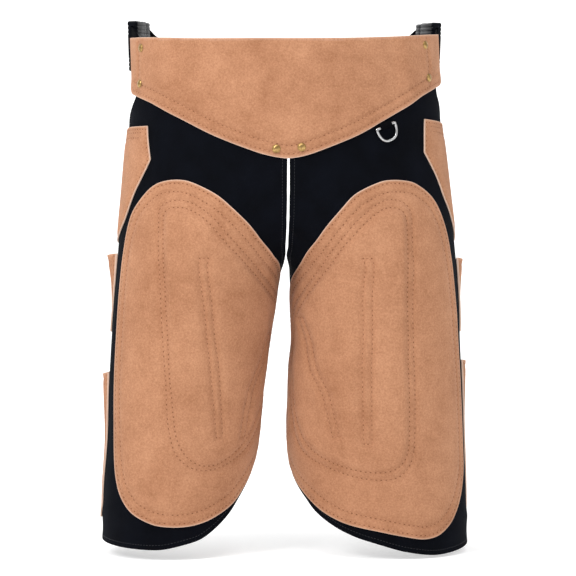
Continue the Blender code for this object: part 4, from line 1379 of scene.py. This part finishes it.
def boxed(name, size, middle, rounding=0.0, segments=2):
    dropPick()
    bpy.ops.mesh.primitive_cube_add(size=1)
    made = bpy.context.object
    made.name = name
    bpy.ops.object.mode_set(mode="EDIT")
    bpy.ops.mesh.select_all(action="SELECT")
    bpy.ops.transform.resize(value=size)
    bpy.ops.transform.translate(value=middle)
    bpy.ops.object.mode_set(mode="OBJECT")
    if rounding:
        bevelled(made, "rounded", rounding, segments)
    return made


def combine(made, other, operation):
    applied(made, "BOOLEAN", "combined", object=other, operation=operation, solver="EXACT")
    bpy.data.objects.remove(other)


def finishHard(made, finish, angle, edge=0.0):
    if edge:
        bevelled(made, "softEdges", edge, angle=38)
    makeActive(made)
    bpy.ops.object.shade_smooth_by_angle(angle=math.radians(angle))
    made.data.materials.clear()
    made.data.materials.append(finish)


def cutAway(made, size, place, rounding=0.0, segments=2):
    combine(made, boxed("cutter", size, place, rounding, segments), "DIFFERENCE")


def cutGrooves(made, middle, thick):
    size = buckleSizes
    for across in size["grooves"]:
        for end in (1, -1):
            cutAway(made, size["groove"], (middle, thick / 2, end * across), size["fine"])


def modelSocket():
    size = buckleSizes
    length, thick, _ = size["socket"]
    middle = seam - length / 2
    start = seam - length
    slot = size["slot"]
    socket = boxed("buckleSocket", size["socket"], (middle, 0, 0), size["rounding"], 4)
    cutAway(socket, size["mouth"], (seam - size["mouth"][0] / 2 + size["mouthPast"], 0, 0), 0.0015)
    cutAway(socket, slot, (start + slot[0] / 2 - size["cutPast"], 0, 0))
    cutAway(socket, size["window"], (seam - size["windowIn"], 0, 0), 0.0016)
    for face in (1, -1):
        cutGrooves(socket, middle, face * thick)
        cutAway(socket, size["panel"], (middle + size["panelShift"], face * thick / 2, 0), 0.0005)
    for across in size["steps"]:  # round the end where the webbing enters
        for face in (1, -1):
            place = (start, face * (thick / 2 + size["stepOut"]), across)
            cutAway(socket, size["step"], place, size["fine"])
    for end in (1, -1):  # finger scoops beside the windows
        cutAway(socket, size["scoop"], (seam - size["windowIn"], 0, end * size["scoopOut"]), 0.0019, 3)
    finishHard(socket, blackPlastic, 40, size["edge"])
    return socket


def modelProngs():
    size = buckleSizes
    length, thick, _ = size["base"]
    middle = (buckleLength - length) / 2
    slot = size["slot"]
    base = boxed("buckleProngs", size["base"], (middle, 0, 0), size["rounding"], 4)
    reach = seam - size["prong"][0] / 2 + size["prongBack"]
    for end in (-1, 1):
        across = end * size["prongOut"]
        prong = boxed("prong", size["prong"], (reach, 0, across), 0.0012)
        tip = boxed("tip", size["tip"], (reach - size["tipBack"], 0, across * size["tipOut"]), 0.0020, 3)
        combine(prong, tip, "UNION")
        combine(base, prong, "UNION")
    guide = boxed("guide", size["guide"], (seam - size["guide"][0] / 2 + size["prongBack"], 0, 0), 0.0010)
    combine(base, guide, "UNION")
    cutAway(base, slot, (middle + length / 2 - slot[0] / 2 + size["cutPast"], 0, 0))
    for face in (1, -1):
        cutGrooves(base, middle, face * thick)
    finishHard(base, blackPlastic, 40, size["edge"])
    return base


def buckleFrame(side, bends, heights, lift):
    level, lift = sum(heights) / 2, lift + webbingThick / 2
    start, end = (Vector(onForm(side, bend, level, lift)) for bend in bends)
    start.z, end.z = heights
    along = (end - start).normalized()
    outward = along.cross(Vector((0, 0, 1))).normalized() * side
    across = along.cross(outward)
    placedAt = Matrix((along, outward, across)).transposed().to_4x4()
    placedAt.translation = (start + end) / 2
    return placedAt


def setPiece(source, name, matrix, body, slot, node):
    piece = link(bpy.data.objects.new(name, source.data.copy()))
    piece.data.name = name
    piece.data.transform(matrix)
    return enlist(piece, body, slot, node)


socketModel, prongsModel = modelSocket(), modelProngs()
legScale = webbing["legWidth"] / webbing["beltWidth"]
for side in (-1, 1):
    for kind, strap, heights, scale in (
        ("Belt", belt, beltHeights, 1.0), ("Leg", legStrap, legHeights, legScale),
    ):
        matrix = buckleFrame(side, strap["bends"], heights, strap["lift"]) @ Matrix.Scale(scale, 4)
        start = f"{sideName[side]}{kind}Buckle"
        node = f"{sideName[side]}_{kind.lower()}_buckle"
        setPiece(socketModel, f"{start}Socket", matrix, "apron", "plastic", f"{node}_socket")
        setPiece(prongsModel, f"{start}Prongs", matrix, "apron", "plastic", f"{node}_prongs")
bpy.data.objects.remove(socketModel)
bpy.data.objects.remove(prongsModel)

# Rivet caps
print("rivets")
rivet = {
    "places": ((-4.6, -112), (4.0, -110), (-66.5, 24), (-68, -22), (60.5, 28), (62.5, -14)),
    "radius": 0.0055, "domeRadius": 0.0050, "rise": 0.0026, "flange": 0.0006, "sink": 0.0001, "base": 0.0002,
    "offEdge": 0.02, "offSeam": 0.008,
}


def modelRivet():
    dropPick()
    bpy.ops.mesh.primitive_uv_sphere_add(segments=28, ring_count=14, radius=rivet["domeRadius"])
    dome = bpy.context.object
    dome.name = "rivetCap"
    bpy.ops.object.mode_set(mode="EDIT")
    bpy.ops.mesh.select_all(action="SELECT")
    bpy.ops.transform.resize(value=(1, 1, (rivet["rise"] - rivet["base"]) / rivet["domeRadius"]))
    bpy.ops.mesh.bisect(plane_co=(0, 0, rivet["base"]), plane_no=(0, 0, 1), clear_inner=True, use_fill=True)
    bpy.ops.object.mode_set(mode="OBJECT")
    dropPick()
    bpy.ops.mesh.primitive_cylinder_add(vertices=28, radius=rivet["radius"], depth=rivet["flange"])
    flange = bpy.context.object
    bpy.ops.object.mode_set(mode="EDIT")
    bpy.ops.mesh.select_all(action="SELECT")
    bpy.ops.transform.translate(value=(0, 0, rivet["flange"] / 2))
    bpy.ops.object.mode_set(mode="OBJECT")
    bevelled(flange, "rolled", 0.00028, angle=50)
    combine(dome, flange, "UNION")
    finishHard(dome, domedBrass, 50)
    return dome


rivetModel = modelRivet()
for number, (turn, height) in enumerate(rivet["places"], 1):
    spot = np.array([(turn, height / 1000)])
    out = Vector(outwards(1, spot[:, 0], spot[:, 1])[0])
    matrix = out.to_track_quat("Z", "Y").to_matrix().to_4x4()
    turns, heights = spot.T
    _, top = waistShape(turns, heights, np.array([rivet["offEdge"]]), np.array([rivet["offSeam"]]))
    matrix.translation = Vector(onForm(1, turns, heights, top)[0]) - out * rivet["sink"]
    setPiece(rivetModel, f"rivet{number}", matrix, "apron", "brass", f"rivet_{number}")
bpy.data.objects.remove(rivetModel)

# D-ring and its tab
print("D-ring")
ring = {
    "wire": 0.00175, "halfBar": 0.01425, "drop": 0.0190, "steps": 40,
    "tabWidth": 0.017, "tabThick": 0.0012, "tabRise": 0.0048, "clear": 0.0003, "turn": 36, "height": -0.081,
    "tabGap": 0.0003, "tabSteps": 17, "tabBend": math.pi / 6,
    "across": (-0.5, -0.485, -0.45, -0.3, -0.1, 0.1, 0.3, 0.45, 0.485, 0.5),
}
ringJoint = frame["record"]["behaviour"]["joints"][0]
ringMiddle = Vector(ringJoint["pos_m"])
ringAxis = -Vector(ringJoint["axis"]).normalized()
hangNormal = Vector((0, 0, -1)).cross(ringAxis).normalized()
ringDown = ringAxis.cross(hangNormal)
if ringDown.z > 0:
    ringDown = -ringDown


def frameFrom(first, second):
    matrix = Matrix((first, second, first.cross(second))).transposed().to_4x4()
    matrix.translation = ringMiddle
    return matrix


def modelRing():
    dropPick()
    bpy.ops.curve.primitive_bezier_circle_add(radius=0.01)
    wire = bpy.context.object
    wire.name = "dRing"
    curve = wire.data
    curve.splines.clear()
    points = [(share * ring["halfBar"], 0.0) for share in (-1, -0.9, -0.5, 0, 0.5, 0.9, 1)]
    for k in range(1, ring["steps"]):
        angle = math.pi * k / ring["steps"]
        out = ring["halfBar"] * math.copysign(abs(math.cos(angle)) ** 0.75, math.cos(angle))
        points.append((out, ring["drop"] * math.sin(angle) ** 0.85))
    line = curve.splines.new("POLY")
    line.points.add(len(points) - 1)
    for point, (x, y) in zip(line.points, points):
        point.co = (x, y, 0, 1)
    line.use_cyclic_u = True
    curve.bevel_depth = ring["wire"]
    curve.bevel_resolution = 5
    makeActive(wire)
    bpy.ops.object.convert(target="MESH")
    made = bpy.context.object
    smoothAll(made.data)
    made.data.materials.clear()
    made.data.materials.append(platedWire)
    return made


ringModel = modelRing()
setPiece(ringModel, "dRing", frameFrom(ringAxis, ringDown), "d_ring", "plated_steel", "d_ring")
bpy.data.objects.remove(ringModel)

surfaceOut = Vector(outwards(1, np.array([ring["turn"]]), np.array([ring["height"]]))[0])
tabOut = (surfaceOut - ringAxis * surfaceOut.dot(ringAxis)).normalized()
tabDown = tabOut.cross(ringAxis)
if tabDown.z > 0:
    tabDown = -tabDown


def buildTab():
    inside = ring["wire"] + ring["clear"]
    outside = inside + ring["tabThick"]
    end = 2 * ring["tabThick"] - outside + ring["tabGap"]

    def strip(reach, foot):
        # one face of the folded strip, from its back end round the bar to its front end
        angles = [*np.linspace(math.pi, 0, ring["tabSteps"]), -ring["tabBend"]]
        bend = [(reach * math.cos(angle), reach * math.sin(angle)) for angle in angles]
        return [(-reach, -ring["tabRise"]), *bend, (foot, -ring["tabRise"])]

    outer, inner = strip(outside, end), strip(inside, end - ring["tabThick"])
    loop = outer + inner[::-1]
    along = [0.0]
    for a, b in zip(outer, outer[1:]):
        along.append(along[-1] + math.dist(a, b))
    shares = [share * ring["tabWidth"] for share in ring["across"]]
    matrix = frameFrom(tabOut, tabDown)
    spots = [tuple(matrix @ Vector((x, y, share))) for share in shares for x, y in loop]
    laid = [(distance, share) for share in shares for distance in along + along[::-1]]
    mesh = newMesh("dRingTab", spots, stripFaces(len(shares), len(loop), False, False), blackWebbing)
    fillUv(mesh, np.array(laid), len(laid))
    fixNormals(mesh)
    piece = link(bpy.data.objects.new("dRingTab", mesh))
    makeActive(piece)
    bpy.ops.object.shade_smooth_by_angle(angle=math.radians(50))
    enlist(piece, "apron", "webbing", "d_ring_tab")
    flat = (along[-1], ring["tabWidth"])
    allSheets.append((piece, {"flat": flat, "held": "folded", "rests_on": ["left_leg_panel"]}))


buildTab()

for piece, sheet in allSheets:
    others = {"with_pieces": [sewnOn[piece.name]]} if piece.name in sewnOn else {}
    if "area" in sheet:
        others["area"] = sheet["area"]
    flat = [round(1000 * length) for length in sheet["flat"]]
    print("sheet", piece.name, flat, round(sheet.get("area", 0), 4))
